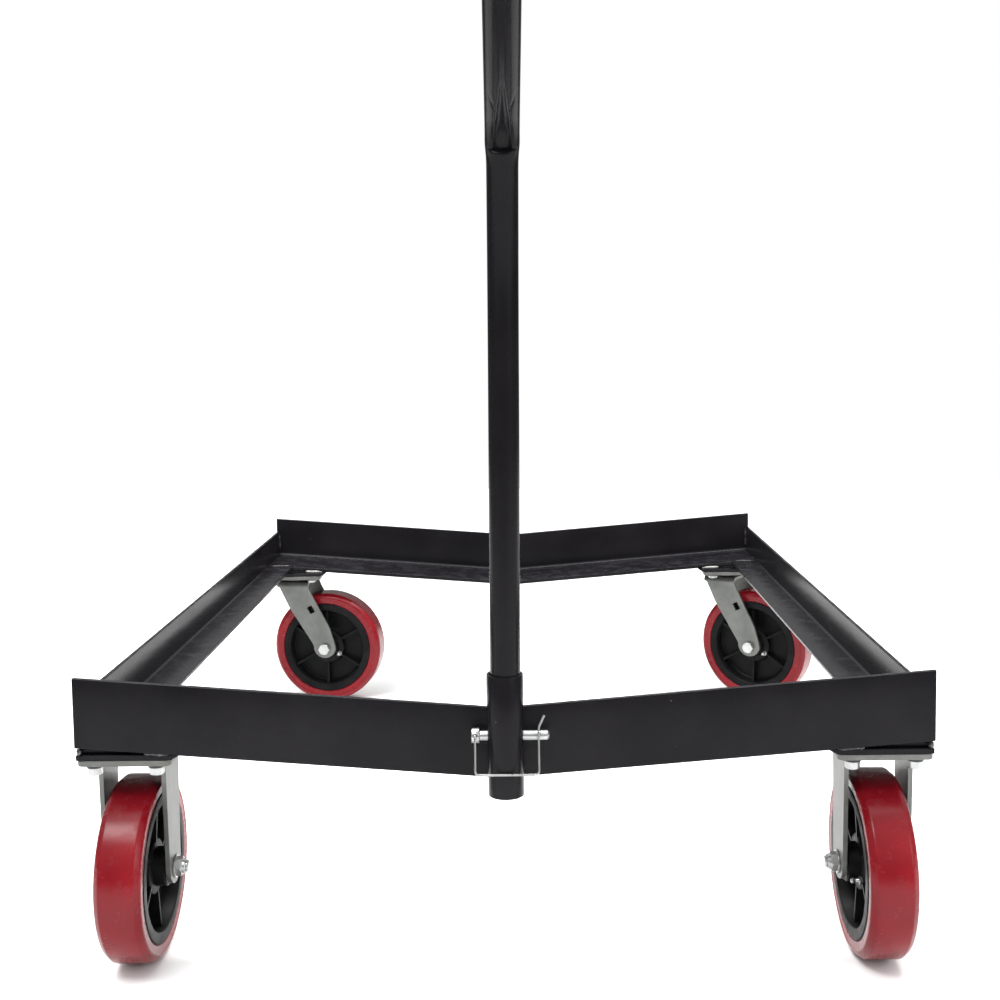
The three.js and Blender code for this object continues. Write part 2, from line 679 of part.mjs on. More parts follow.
// ---- Assembly -----------------------------------------------------------------------------

const dolly = new THREE.Group();
dolly.name = "drum_dolly";

dolly.add(mesh("front_cross_rail", crossRail(-1), "blackPaint"));
dolly.add(mesh("rear_cross_rail", crossRail(1), "blackPaint"));
dolly.add(mesh("left_side_rail", sideRail(-1), "blackPaint"));
dolly.add(mesh("right_side_rail", sideRail(1), "blackPaint"));

for (const [depthName, y, swivels] of [["front", FRONT_CASTER_Y, false], ["rear", REAR_CASTER_Y, true]]) {
  for (const [sideName, side] of [["left", -1], ["right", 1]]) {
    const prefix = `${depthName}_${sideName}`;
    const inset = side * (FRAME_WIDTH - MOUNT_PLATE_X) / 2;
    const holes = boltPlaces().map(([bx, by]) => [bx + side * CASTER_X - inset, by]);
    const plate = mesh(`${prefix}_mount_plate`, mountPlate(holes), "blackPaint");
    plate.position.set(inset, y, MOUNT_PLATE_TOP - MOUNT_PLATE_THICKNESS / 2);
    dolly.add(plate, casterBase(prefix, side * CASTER_X, y, swivels));
  }
}

dolly.add(rigidCaster("front_left", -CASTER_X, -1));
dolly.add(rigidCaster("front_right", CASTER_X, 1));
dolly.add(swivelCaster("rear_left", -CASTER_X, LEFT_SWIVEL, -1));
dolly.add(swivelCaster("rear_right", CASTER_X, RIGHT_SWIVEL, -1));

const crossBar = new THREE.Group();
crossBar.add(mesh("grip_bar", gripBar(), "blackPaint"));
crossBar.add(mesh("left_grip", grip(-1), "gripRubber"));
crossBar.add(mesh("right_grip", grip(1), "gripRubber"));
crossBar.position.set(0, gripBarPlace().y, gripBarPlace().z);
// The post stands in its socket with play, so it leans and twists a little about the pin.
const looseHandle = new THREE.Group();
looseHandle.add(mesh("handle_post", post(), "blackPaint"), crossBar);
looseHandle.children.forEach((piece) => piece.translateZ(-PIN_Z));
looseHandle.rotation.set(0, radians(POST_LEAN), radians(POST_TWIST));
const latch = new THREE.Group();
latch.add(mesh("hitch_pin", hitchPin(), "zincBright"));
latch.add(mesh("pin_bail", bail(), "zincBright"));
const handle = new THREE.Group();
const socketTube = mesh("handle_socket", socket(), "blackPaint");
socketTube.position.z = -PIN_Z;
handle.add(socketTube, looseHandle, latch);
handle.position.set(POST_X, POST_Y, PIN_Z);
dolly.add(handle);

// Origin on the floor under the middle of the whole dolly.
dolly.updateMatrixWorld(true);
const bounds = new THREE.Box3().setFromObject(dolly, true);
const centre = bounds.getCenter(new THREE.Vector3());
dolly.position.set(-centre.x, -centre.y, -bounds.min.z);

const root = new THREE.Group();
root.name = "drum_dolly_assembly";
root.add(dolly);

export default root;
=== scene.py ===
"""Drum dolly: the finished surfaces, small hardware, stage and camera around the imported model."""

import json
import math

import bmesh
import bpy
from mathutils import Matrix, Vector, noise


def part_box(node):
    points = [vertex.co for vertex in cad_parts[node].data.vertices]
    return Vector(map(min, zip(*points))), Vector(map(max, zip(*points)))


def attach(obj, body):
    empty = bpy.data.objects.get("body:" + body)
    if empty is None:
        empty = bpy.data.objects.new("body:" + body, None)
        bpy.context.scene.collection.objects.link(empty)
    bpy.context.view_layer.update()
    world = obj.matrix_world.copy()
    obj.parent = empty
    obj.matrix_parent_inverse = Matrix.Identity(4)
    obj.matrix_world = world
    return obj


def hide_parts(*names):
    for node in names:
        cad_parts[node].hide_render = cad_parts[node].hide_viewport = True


bl_info = {
    "name": "Drum Dolly Finish",
    "version": (1, 0, 0),
    "blender": (4, 5, 0),
    "location": "3D Viewport > Sidebar > Drum Dolly",
    "description": "Builds the finished pieces of a drum dolly on its packed model",
    "category": "Object",
}

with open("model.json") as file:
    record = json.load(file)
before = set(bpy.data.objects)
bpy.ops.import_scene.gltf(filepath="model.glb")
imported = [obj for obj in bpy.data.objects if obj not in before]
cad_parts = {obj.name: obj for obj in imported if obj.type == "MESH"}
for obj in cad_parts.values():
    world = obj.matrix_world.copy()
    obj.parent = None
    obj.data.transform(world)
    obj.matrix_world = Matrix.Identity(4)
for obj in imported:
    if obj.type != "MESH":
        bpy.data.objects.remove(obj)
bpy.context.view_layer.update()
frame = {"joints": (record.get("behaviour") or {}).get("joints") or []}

MM = 0.001
SIDES = ("left", "right")
CORNERS = tuple(f"{end}_{side}" for end in ("front", "rear") for side in SIDES)

# Sizes shared by the pieces, in metres, and the turn that stands a piece made along X upright.
CLEARANCE = 0.3 * MM
UPRIGHT = Matrix.Rotation(math.radians(-90), 4, "Y")
BOLT_RADIUS = 4.76 * MM
BOLT_ACROSS = 14.3 * MM
BOLT_LENGTH = 12.2 * MM
REAR_BOLT_HEAD = 5.5 * MM
AXLE_RADIUS = 6.35 * MM
AXLE_ACROSS = 19 * MM
NUT_BORE = 6.6 * MM
HUB_RADIUS = 21 * MM
RIM_INNER = 70 * MM
FORK_THICKNESS = 5 * MM
FORK_BEND = 9 * MM
SWIVEL_TRAIL = -60 * MM
KINGPIN_RADIUS = 8 * MM
PIN_RADIUS = 5 * MM
SOCKET_PIN_HOLE = 5.3 * MM
POST_PIN_HOLE = 5.6 * MM
GRIP_RADIUS = 19.4 * MM
GRIP_FLANGE = 21.4 * MM
GRIP_END = 5 * MM
WIRE_RADIUS = 1.2 * MM
BAIL_BENDS = (2.4 * MM, 5 * MM, 5 * MM, 12 * MM)


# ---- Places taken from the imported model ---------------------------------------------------


def joint(name):
    """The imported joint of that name."""
    return next(j for j in frame["joints"] if j["name"] == name)


def middle(node):
    """Centre of a node's box."""
    low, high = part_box(node)
    return (low + high) / 2


def axle_place(corner):
    """Matrix of a wheel: origin at its centre, X along the axle, Z up."""
    spin = joint(f"{corner}_wheel_spin")
    x = Vector(spin["axis"]).normalized()
    z = Vector((0, 0, 1))
    return frame_matrix(x, z.cross(x), z, Vector(spin["pos_m"]))


def fork_place(corner):
    """Matrix of a fork: origin on the floor under the kingpin or the rigid fork's middle."""
    wheel = axle_place(corner)
    if corner.startswith("front"):
        return Matrix.Translation((0, 0, -wheel.translation.z)) @ wheel
    pivot = Vector(joint(f"{corner}_caster_swivel")["pos_m"])
    turned_axes = wheel.copy()
    turned_axes.translation = (pivot.x, pivot.y, 0)
    return turned_axes


def frame_matrix(x, y, z, origin):
    """Matrix with those axes and that origin."""
    matrix = Matrix((x, y, z)).transposed().to_4x4()
    matrix.translation = origin
    return matrix


def fork_body(corner):
    """Body that a corner's fork rides on."""
    return "frame" if corner.startswith("front") else f"{corner}_swivel"


# ---- Settings -----------------------------------------------------------------------------


def length(name, description, value):
    """Length setting given in millimetres."""
    return bpy.props.FloatProperty(name=name, description=description, unit="LENGTH", default=value * MM)


def angle(name, description, value):
    """Angle setting given in degrees."""
    return bpy.props.FloatProperty(
        name=name, description=description, subtype="ANGLE", default=math.radians(value)
    )


def tint(name, description, value):
    """Colour setting, in linear light."""
    return bpy.props.FloatVectorProperty(
        name=name, description=description, subtype="COLOR", size=3, min=0, max=1, default=value
    )


class DollyPaintSettings(bpy.types.PropertyGroup):
    """Sizes and colour of the painted frame."""

    colour: tint(
        "Paint Colour", "Colour of the gloss enamel on the frame and handle", (0.0052, 0.0047, 0.0056)
    )
    rail_height: length("Cross Rail Height", "Height of a cross rail's upright leg", 76.2)
    rail_thickness: length("Cross Rail Thickness", "Thickness of a cross rail's steel", 6.35)
    side_thickness: length("Side Rail Thickness", "Thickness of a side rail's steel", 4.8)
    weld_radius: length("Weld Radius", "Half the width of a weld bead", 3.2)


class DollyWheelSettings(bpy.types.PropertyGroup):
    """Sizes and colours of the four wheels."""

    tyre_colour: tint("Tyre Colour", "Colour of the cast polyurethane tread", (0.175, 0.0045, 0.0085))
    core_colour: tint("Core Colour", "Colour of the moulded wheel core", (0.0035, 0.0036, 0.004))
    shoulder: length("Tyre Shoulder", "Size of the rounding between tread and side wall", 8)
    rib_count: bpy.props.IntProperty(
        name="Rib Count", description="Ribs between the hub and the rim of a wheel core",
        default=6, min=3, max=12,
    )


class DollyMetalSettings(bpy.types.PropertyGroup):
    """Colours of the plated steel."""

    satin_colour: tint(
        "Fork Plating", "Colour of the satin zinc plating on forks and plates", (0.150, 0.154, 0.146)
    )
    bright_colour: tint(
        "Fastener Plating", "Colour of the bright zinc plating on bolts, nuts, pin and bail",
        (0.40, 0.408, 0.405),
    )


class DollyHandleSettings(bpy.types.PropertyGroup):
    """Sizes of the bent pull handle."""

    tube_radius: length("Tube Radius", "Outer radius of the handle's tube", 15.875)
    wall: length("Tube Wall", "Wall thickness of the handle's tube", 2.4)
    bow_start: length("Bow Start", "Height at which the post starts to bow toward the user", 650)
    bow_radius: length("Bow Radius", "Radius of the long bow", 600)
    bow_angle: angle("Bow Angle", "Lean of the tube at the end of the long bow", 20)
    bend_radius: length("Bend Radius", "Radius of the tight creased bend", 90)
    arm_angle: angle("Arm Angle", "Angle of the arm from upright", 60)
    lean: angle("Lean", "Sideways lean of the post in its socket", 0.5)
    twist: angle("Twist", "Turn of the post about itself in its socket", 1)
    dent: length("Crease Depth", "Depth of the crease on the inside of the bend", 7.5)
    bar_length: length("Grip Bar Length", "Length of the cross bar", 320)
    grip_length: length("Grip Length", "Length of one rubber grip", 115)


class DollyStageSettings(bpy.types.PropertyGroup):
    """Floor, light and camera."""

    floor_colour: tint("Floor Colour", "Colour of the plain floor", (0.93, 0.93, 0.93))
    lens: bpy.props.FloatProperty(
        name="Lens", description="Focal length of the camera, in millimetres on a 36 mm sensor",
        default=47.22,
    )
    drop: bpy.props.FloatProperty(
        name="View Drop", description="Vertical shift of the view, as a share of its width", default=-0.0636
    )
    yaw: angle("Yaw", "Turn of the camera to its left", 1.11)
    pitch: angle("Pitch", "Downward tilt of the camera", 4.77)
    roll: angle("Roll", "Roll of the camera", -0.85)
    camera_aside: length("Camera Aside", "Camera place to the right of the frame's middle", 28.8)
    camera_back: length("Camera Distance", "Distance from the camera to the front rail", 1358.7)
    camera_height: length("Camera Height", "Height of the camera above the floor", 698.2)


# ---- Mesh work ----------------------------------------------------------------------------


def arc(centre, radius, start, end, steps):
    """Points on an arc, angles in degrees, both ends included."""
    points = []
    for i in range(steps + 1):
        angle = math.radians(start + (end - start) * i / steps)
        points.append((centre[0] + radius * math.cos(angle), centre[1] + radius * math.sin(angle)))
    return points


def ring(radius, count):
    """Points of a circle."""
    return arc((0, 0), radius, 0, 360 * (count - 1) / count, count - 1)


def swept(outline, stations):
    """Mesh of an outline carried through stations, each a function from outline point to space."""
    mesh = bmesh.new()
    rows = [[mesh.verts.new(place(point)) for point in outline] for place in stations]
    for lower, upper in zip(rows, rows[1:]):
        for i in range(len(outline)):
            j = (i + 1) % len(outline)
            mesh.faces.new((lower[i], lower[j], upper[j], upper[i]))
    mesh.faces.new(list(reversed(rows[0])))
    mesh.faces.new(rows[-1])
    bmesh.ops.recalc_face_normals(mesh, faces=mesh.faces)
    return mesh


def turned(profile, segments=96, closed=False):
    """Mesh turned about X from (x, radius) points; a closed profile makes a ring."""
    mesh = bmesh.new()
    count = len(profile)
    rows = []
    for x, radius in profile:
        if radius < 1e-7:
            rows.append([mesh.verts.new((x, 0, 0))])
            continue
        rows.append(
            [
                mesh.verts.new((x, radius * math.cos(angle), radius * math.sin(angle)))
                for angle in (2 * math.pi * i / segments for i in range(segments))
            ]
        )
    for k in range(count if closed else count - 1):
        lower, upper = rows[k], rows[(k + 1) % count]
        for i in range(segments):
            j = (i + 1) % segments
            corners = [(lower, i), (lower, j), (upper, j), (upper, i)]
            face = list(dict.fromkeys(row[k % len(row)] for row, k in corners))
            if len(face) > 2:
                mesh.faces.new(face)
    bmesh.ops.recalc_face_normals(mesh, faces=mesh.faces)
    return mesh


def block(size, centre):
    """Mesh of a box."""
    mesh = bmesh.new()
    bmesh.ops.create_cube(mesh, size=1)
    bmesh.ops.scale(mesh, vec=Vector(size), verts=mesh.verts)
    bmesh.ops.translate(mesh, vec=Vector(centre), verts=mesh.verts)
    return mesh


def merged(*meshes):
    """One mesh holding several closed ones."""
    whole = bmesh.new()
    for part in meshes:
        copy = bpy.data.meshes.new("part")
        part.to_mesh(copy)
        part.free()
        whole.from_mesh(copy)
        bpy.data.meshes.remove(copy)
    return whole


def moved(mesh, matrix):
    """The mesh after a transform."""
    bmesh.ops.transform(mesh, matrix=matrix, verts=mesh.verts)
    return mesh


def as_object(name, mesh):
    """Linked object made from a bmesh."""
    data = bpy.data.meshes.new(name)
    mesh.to_mesh(data)
    mesh.free()
    made = bpy.data.objects.new(name, data)
    bpy.context.scene.collection.objects.link(made)
    return made


def carve(target, tools, operation):
    """Result of joining, cutting or crossing a mesh with others."""
    body = as_object("carved", target)
    helpers = [as_object("cutter", tool) for tool in tools]
    for helper in helpers:
        step = body.modifiers.new("carve", "BOOLEAN")
        step.operation = operation
        step.solver = "EXACT"
        step.object = helper
    graph = bpy.context.evaluated_depsgraph_get()
    result = bmesh.new()
    result.from_object(body, graph)
    for spare in [body, *helpers]:
        data = spare.data
        bpy.data.objects.remove(spare)
        bpy.data.meshes.remove(data)
    bmesh.ops.remove_doubles(result, verts=result.verts, dist=1e-6)
    return result


def soften(piece, width):
    """Rounds a piece's sharp edges."""
    step = piece.modifiers.new("rounded_edges", "BEVEL")
    step.width = width
    step.segments = 2
    step.limit_method = "ANGLE"
    step.angle_limit = math.radians(30)
    step.harden_normals = True
    step.use_clamp_overlap = True


def smooth_faces(data, angle):
    """Smooth shading with sharp edges where faces meet above an angle."""
    for face in data.polygons:
        face.use_smooth = True
    data.set_sharp_from_angle(angle=math.radians(angle))


def finish_piece(name, mesh, material, body, replaces=(), place=None, edge=0.0, sharp=32):
    """Names, places, paints and seats a piece on its body."""
    piece = as_object(name, mesh) if isinstance(mesh, bmesh.types.BMesh) else linked_copy(name, mesh)
    smooth_faces(piece.data, sharp)
    if edge > 0:
        soften(piece, edge)
    if place is not None:
        piece.matrix_world = place
    piece.data.materials.clear()
    piece.data.materials.append(material)
    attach(piece, body)
    if replaces:
        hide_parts(*replaces)
    return piece


def linked_copy(name, source):
    """A further copy of a piece that is already built, for another place."""
    made = bpy.data.objects.new(name, source.data.copy())
    bpy.context.scene.collection.objects.link(made)
    return made


# ---- Shader maths -------------------------------------------------------------------------


class Signal:
    """A shader socket that takes part in ordinary arithmetic."""

    def __init__(self, shader, socket):
        self.shader = shader
        self.socket = socket

    def maths(self, operation, *values):
        """Result of one Math node."""
        return self.shader.node("ShaderNodeMath", {"operation": operation}, dict(enumerate(values)))

    def __add__(self, other):
        return self.maths("ADD", self, other)

    def __sub__(self, other):
        return self.maths("SUBTRACT", self, other)

    def __rsub__(self, other):
        return self.maths("SUBTRACT", other, self)

    def __mul__(self, other):
        return self.maths("MULTIPLY", self, other)

    __radd__ = __add__
    __rmul__ = __mul__

    def limited(self):
        """The value held between 0 and 1."""
        return self.shader.node("ShaderNodeMath", {"operation": "ADD", "use_clamp": True}, {0: self, 1: 0.0})

    def between(self, low, high):
        """Soft step from 0 at low to 1 at high."""
        settings = {"interpolation_type": "SMOOTHSTEP"}
        values = {"Value": self, "From Min": low, "From Max": high}
        return self.shader.node("ShaderNodeMapRange", settings, values)


class Shader:
    """Builds one material's nodes."""

    def __init__(self, name):
        self.material = bpy.data.materials.new(name)
        self.material.use_nodes = True
        self.nodes = self.material.node_tree.nodes
        self.links = self.material.node_tree.links
        self.surface = self.nodes["Principled BSDF"]

    def node(self, kind, settings, values, output=0):
        """One node: settings first, then its sockets, and the output wanted."""
        made = self.nodes.new(kind)
        for key, value in settings.items():
            setattr(made, key, value)
        for key, value in values.items():
            self.feed(made.inputs[key], value)
        return Signal(self, made.outputs[output])

    def feed(self, socket, value):
        """Links a signal to a socket, or sets a plain value."""
        if isinstance(value, Signal):
            self.links.new(value.socket, socket)
        elif isinstance(value, (tuple, list)) and len(value) == 3 and socket.type == "RGBA":
            socket.default_value = (*value, 1)
        else:
            socket.default_value = value

    def place(self):
        """Position on the piece, in metres."""
        return self.node("ShaderNodeTexCoord", {}, {}, "Object")

    def stretched(self, scale):
        """Position scaled apart along each axis."""
        values = {"Vector": self.place(), "Scale": scale}
        return self.node("ShaderNodeMapping", {}, values)

    def noise(self, scale, detail=3.0, roughness=0.55, vector=None, distortion=0.0):
        """Soft noise from 0 to 1."""
        values = {
            "Vector": vector or self.place(),
            "Scale": scale,
            "Detail": detail,
            "Roughness": roughness,
            "Distortion": distortion,
        }
        return self.node("ShaderNodeTexNoise", {}, values, "Fac")

    def cells(self, scale):
        """Distance to the nearest point of a scattered set."""
        values = {"Vector": self.place(), "Scale": scale}
        return self.node("ShaderNodeTexVoronoi", {}, values, "Distance")

    def colour(self, amount, first, second):
        """Mix of two colours by an amount from 0 to 1."""
        settings = {"data_type": "RGBA"}
        return self.node("ShaderNodeMix", settings, {0: amount, 6: first, 7: second}, 2)

    def facing_up(self):
        """1 on faces that look up, 0 on upright and lower ones."""
        normal = self.node("ShaderNodeNewGeometry", {}, {}, "Normal")
        return self.node("ShaderNodeSeparateXYZ", {}, {0: normal}, "Z").between(0.3, 1.0)

    def bump(self, height, strength, distance, normal=None):
        """Normal bent by a height."""
        values = {"Height": height, "Strength": strength, "Distance": distance}
        if normal is not None:
            values["Normal"] = normal
        return self.node("ShaderNodeBump", {}, values)

    def dress(self, **sockets):
        """Sets the surface's own sockets by name, with underscores for spaces."""
        for key, value in sockets.items():
            self.feed(self.surface.inputs[key.replace("_", " ")], value)
        return self.material


def gloss_paint(name, colour):
    """Black gloss enamel: orange peel, dust and a painted bluish sheen on what faces up, fine scuffs and
    chips.
    """
    s = Shader(name)
    tone = s.noise(9, 4)
    # One mask on faces that look up: real dust, and also a painted sheen of the light from above.
    dust = s.facing_up() * s.noise(38, 5).between(0.42, 0.78)
    chips = 1 - s.cells(95).between(0.045, 0.075)
    chips = chips * s.noise(16, 2).between(0.6, 0.66)
    scuffs = s.noise(60, 6, 0.7, s.stretched((1, 1, 9))).between(0.62, 0.72)
    lighter = tuple(c * 1.5 + 0.001 for c in colour)
    base = s.colour(tone.between(0.3, 0.75), colour, lighter)
    # Painted sheen with dust: up-facing faces turn paler and bluer, as if lit from above.
    base = s.colour(dust * 0.12, base, (0.07, 0.073, 0.085))
    base = s.colour(chips * 0.6, base, (0.15, 0.145, 0.14))
    peel = s.noise(420, 2, 0.5)
    ripple = s.bump(peel, 0.14, 0.0008)
    return s.dress(
        Base_Color=base,
        Roughness=(tone * 0.1 + dust * 0.2 + scuffs * 0.1 + 0.17).limited(),
        Specular_IOR_Level=0.085,
        Normal=s.bump(chips, 0.3, 0.0004, ripple),
    )


def plated_steel(name, colour, rough, grain):
    """Zinc plate over rolled steel: mottled tone, fine draw lines, handling marks and dull spots."""
    s = Shader(name)
    cloud = s.noise(26, 5, 0.6)
    spots = s.cells(310).between(0.0, 0.5)
    lines = s.noise(210, 4, 0.65, s.stretched((1, 1, 0.06)))
    stain = s.noise(11, 3, 0.5, None, 0.6).between(0.55, 0.75)
    darker = tuple(c * 0.68 for c in colour)
    warm = (colour[0] * 0.86, colour[1] * 0.82, colour[2] * 0.7)
    base = s.colour(cloud.between(0.3, 0.7), darker, colour)
    base = s.colour(stain * 0.45, base, warm)
    height = lines * 0.6 + spots * 0.4
    return s.dress(
        Base_Color=base,
        Metallic=0.86,
        Roughness=(cloud * 0.18 + lines * 0.14 + stain * 0.08 + rough).limited(),
        Normal=s.bump(height, grain, 0.0004),
    )


def polyurethane(name, colour):
    """Cast polyurethane: a waxy red skin, floor dust picked up by the tread, small nicks."""
    s = Shader(name)
    cloud = s.noise(14, 4, 0.6)
    grime = s.noise(46, 6, 0.7).between(0.52, 0.74)
    nicks = 1 - s.cells(150).between(0.03, 0.07)
    nicks = nicks * s.noise(22, 2).between(0.58, 0.64)
    deep = (colour[0] * 0.72, colour[1] * 0.62, colour[2] * 0.75)
    base = s.colour(cloud.between(0.3, 0.72), deep, colour)
    base = s.colour(grime * 0.25, base, (0.11, 0.02, 0.023))
    base = s.colour(nicks * 0.6, base, (0.30, 0.14, 0.12))
    skin = s.bump(s.noise(260, 3, 0.6), 0.16, 0.0006)
    return s.dress(
        Base_Color=base,
        Roughness=(cloud * 0.16 + grime * 0.2 + 0.17).limited(),
        Specular_IOR_Level=0.2,
        Normal=s.bump(nicks, -0.3, 0.0004, skin),
    )


def cast_core(name, colour):
    """Moulded black core: fine sand texture, with paler patches and dusty patches at random."""
    s = Shader(name)
    cloud = s.noise(30, 5)
    grain = s.noise(900, 3, 0.6)
    dust = s.noise(70, 4).between(0.5, 0.8)
    paler = tuple(c * 1.5 + 0.0012 for c in colour)
    base = s.colour(cloud.between(0.35, 0.7), colour, paler)
    base = s.colour(dust * 0.08, base, (0.05, 0.049, 0.047))
    return s.dress(
        Base_Color=base,
        Roughness=(cloud * 0.15 + dust * 0.15 + 0.34).limited(),
        Specular_IOR_Level=0.07,
        Normal=s.bump(grain, 0.3, 0.0003),
    )


def grip_rubber(name):
    """Matt black rubber with a fine moulded grain."""
    s = Shader(name)
    cloud = s.noise(40, 4)
    grain = s.cells(700)
    base = s.colour(cloud, (0.006, 0.006, 0.0066), (0.014, 0.0136, 0.0136))
    return s.dress(Base_Color=base, Roughness=cloud * 0.15 + 0.62, Normal=s.bump(grain, 0.35, 0.0003))


def weld_metal(name, colour, shine):
    """Weld bead: rippled, lightly spattered metal under thin paint."""
    s = Shader(name)
    cloud = s.noise(120, 4)
    bare = s.noise(190, 3).between(0.5, 0.62)
    base = s.colour(bare * shine, colour, (0.34, 0.34, 0.32))
    return s.dress(
        Base_Color=base,
        Metallic=bare * shine * 0.7,
        Roughness=cloud * 0.25 + 0.22,
        Normal=s.bump(s.noise(600, 3), 0.4, 0.0005),
    )


def dark_washer(name):
    """Black-oxide washer steel."""
    s = Shader(name)
    cloud = s.noise(160, 4)
    base = s.colour(cloud, (0.018, 0.018, 0.019), (0.05, 0.048, 0.045))
    surface = s.bump(cloud, 0.2, 0.0003)
    return s.dress(Base_Color=base, Metallic=0.5, Roughness=cloud * 0.2 + 0.4, Normal=surface)


materials = {}


class DOLLY_OT_finishes(bpy.types.Operator):
    """Mix the dolly's paint, plating, rubber and core finishes"""

    bl_idname = "dolly.finishes"
    bl_label = "Mix Finishes"

    def execute(self, context):
        scene = context.scene
        metal = scene.dolly_metal
        wheel = scene.dolly_wheel
        paint = tuple(scene.dolly_paint.colour)
        bright = tuple(metal.bright_colour)
        materials["paint"] = gloss_paint("frame_enamel", paint)
        materials["satin"] = plated_steel("satin_zinc_plate", tuple(metal.satin_colour), 0.3, 0.25)
        materials["bright"] = plated_steel("bright_zinc_plate", bright, 0.14, 0.12)
        materials["bearing"] = plated_steel("bearing_steel", (0.4, 0.4, 0.41), 0.2, 0.1)
        materials["tyre"] = polyurethane("red_polyurethane", tuple(wheel.tyre_colour))
        materials["core"] = cast_core("black_core", tuple(wheel.core_colour))
        materials["grip"] = grip_rubber("grip_rubber")
        materials["weld"] = weld_metal("painted_weld", paint, 0.25)
        materials["bare_weld"] = weld_metal("scuffed_weld", (0.2, 0.2, 0.19), 0.9)
        materials["washer"] = dark_washer("oxide_washer")
        return {"FINISHED"}


# ---- Frame --------------------------------------------------------------------------------


def angle_outline(height, ledge, thickness, inner, edge):
    """Angle section as (inward, up) points: upright leg outside, ledge pointing inward."""
    return [
        *arc((ledge - edge, edge), edge, 270, 360, 4),
        *arc((ledge - edge, thickness - edge), edge, 0, 90, 4),
        *arc((thickness + inner, thickness + inner), inner, 270, 180, 10),
        *arc((thickness - edge, height - edge), edge, 0, 90, 4),
        *arc((edge, height - edge), edge, 90, 180, 4),
        *arc((1.6 * MM, 1.6 * MM), 1.6 * MM, 180, 270, 4),
    ]


class DOLLY_OT_cross_rails(bpy.types.Operator):
    """Build the front and rear V-shaped cross rails"""

    bl_idname = "dolly.cross_rails"
    bl_label = "Cross Rails"

    def execute(self, context):
        paint = context.scene.dolly_paint
        for node in ("front_cross_rail", "rear_cross_rail"):
            low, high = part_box(node)
            drop = (high.z - low.z) - paint.rail_height
            half = (high.x - low.x) / 2
            centre = (high.x + low.x) / 2
            outward = -1 if node.startswith("front") else 1
            face = low.y if outward < 0 else high.y
            outline = angle_outline(
                paint.rail_height, high.y - low.y, paint.rail_thickness, 6 * MM, 1.1 * MM
            )

            def station(x):
                rise = drop * abs(x) / half

                def place(point):
                    return Vector((centre + x, face - outward * point[0], low.z + rise + point[1]))

                return place

            stations = [station(x) for x in (-half, -6 * MM, -2 * MM, 2 * MM, 6 * MM, half)]
            mesh = swept(outline, stations)
            finish_piece(
                f"{node}_steel", mesh, materials["paint"], "frame", [node],
                edge=0.6 * MM, sharp=40,
            )
        return {"FINISHED"}


class DOLLY_OT_side_rails(bpy.types.Operator):
    """Build the two level side rails"""

    bl_idname = "dolly.side_rails"
    bl_label = "Side Rails"

    def execute(self, context):
        paint = context.scene.dolly_paint
        front_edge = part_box("front_cross_rail")[1].y + 0.3 * MM
        rear_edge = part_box("rear_cross_rail")[0].y - 0.3 * MM
        lap = 0.3 * MM + paint.rail_thickness
        for side in SIDES:
            node = f"{side}_side_rail"
            low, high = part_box(node)
            outer, inward = (low.x, 1) if side == "left" else (high.x, -1)
            outline = angle_outline(
                high.z - low.z, high.x - low.x, paint.side_thickness, 4 * MM, 1.0 * MM
            )

            def station(y):
                return lambda point: Vector((outer + inward * point[0], y, low.z + point[1]))

            middle_span = swept(outline, [station(front_edge), station(rear_edge)])
            edge = 1.0 * MM
            top = high.z - low.z
            strip = [
                (0, lap),
                (paint.side_thickness, lap),
                *arc((paint.side_thickness - edge, top - edge), edge, 0, 90, 4),
                *arc((edge, top - edge), edge, 90, 180, 4),
            ]
            upright = swept(strip, [station(low.y), station(high.y)])
            mesh = carve(middle_span, [upright], "UNION")
            finish_piece(
                f"{side}_side_rail_steel", mesh, materials["paint"], "frame", [node],
                sharp=40,
            )
        return {"FINISHED"}


class DOLLY_OT_mount_plates(bpy.types.Operator):
    """Build the level plates between the rails and the casters"""

    bl_idname = "dolly.mount_plates"
    bl_label = "Mount Plates"

    def execute(self, context):
        for corner in CORNERS:
            node = f"{corner}_mount_plate"
            low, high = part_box(node)
            mesh = block(high - low, (low + high) / 2)
            finish_piece(
                f"{corner}_mount_plate_steel", mesh, materials["paint"], "frame",
                [node], edge=0.9 * MM,
            )
        return {"FINISHED"}


def weld_bead(start, end, radius, seed):
    """Rippled bead between two points, built of overlapping crescents."""
    along = end - start
    length = along.length
    tangent = along.normalized()
    side = tangent.cross(Vector((0.31, 0.17, 0.93))).normalized()
    up = tangent.cross(side)
    pitch = 2.6 * MM
    steps = max(6, int(length / (0.65 * MM)))
    outline = ring(1.0, 12)

    def station(k):
        s = length * k / steps
        phase = (s / pitch) % 1.0
        taper = min(1.0, 0.35 + 4 * min(k, steps - k) / steps)
        wobble = noise.noise(Vector((s * 160, seed * 7.3, 0.4)))
        size = radius * taper * (0.82 + 0.2 * math.sqrt(1 - phase) + 0.22 * wobble)
        centre = start + tangent * s + up * (0.3 * radius * wobble)

        def place(point):
            lean = 0.5 * pitch * (1 - point[0] ** 2)
            return centre + side * (size * point[0]) + up * (size * point[1]) + tangent * lean * taper

        return place

    return swept(outline, [station(k) for k in range(steps + 1)])


def bar_along_y(outline, x, inward, z, ends):
    """Straight bar along Y; its outline holds (inward, up) distances from x and z."""
    return swept(outline, [
        lambda point, y=y: Vector((x + inward * point[0], y, z + point[1])) for y in ends
    ])


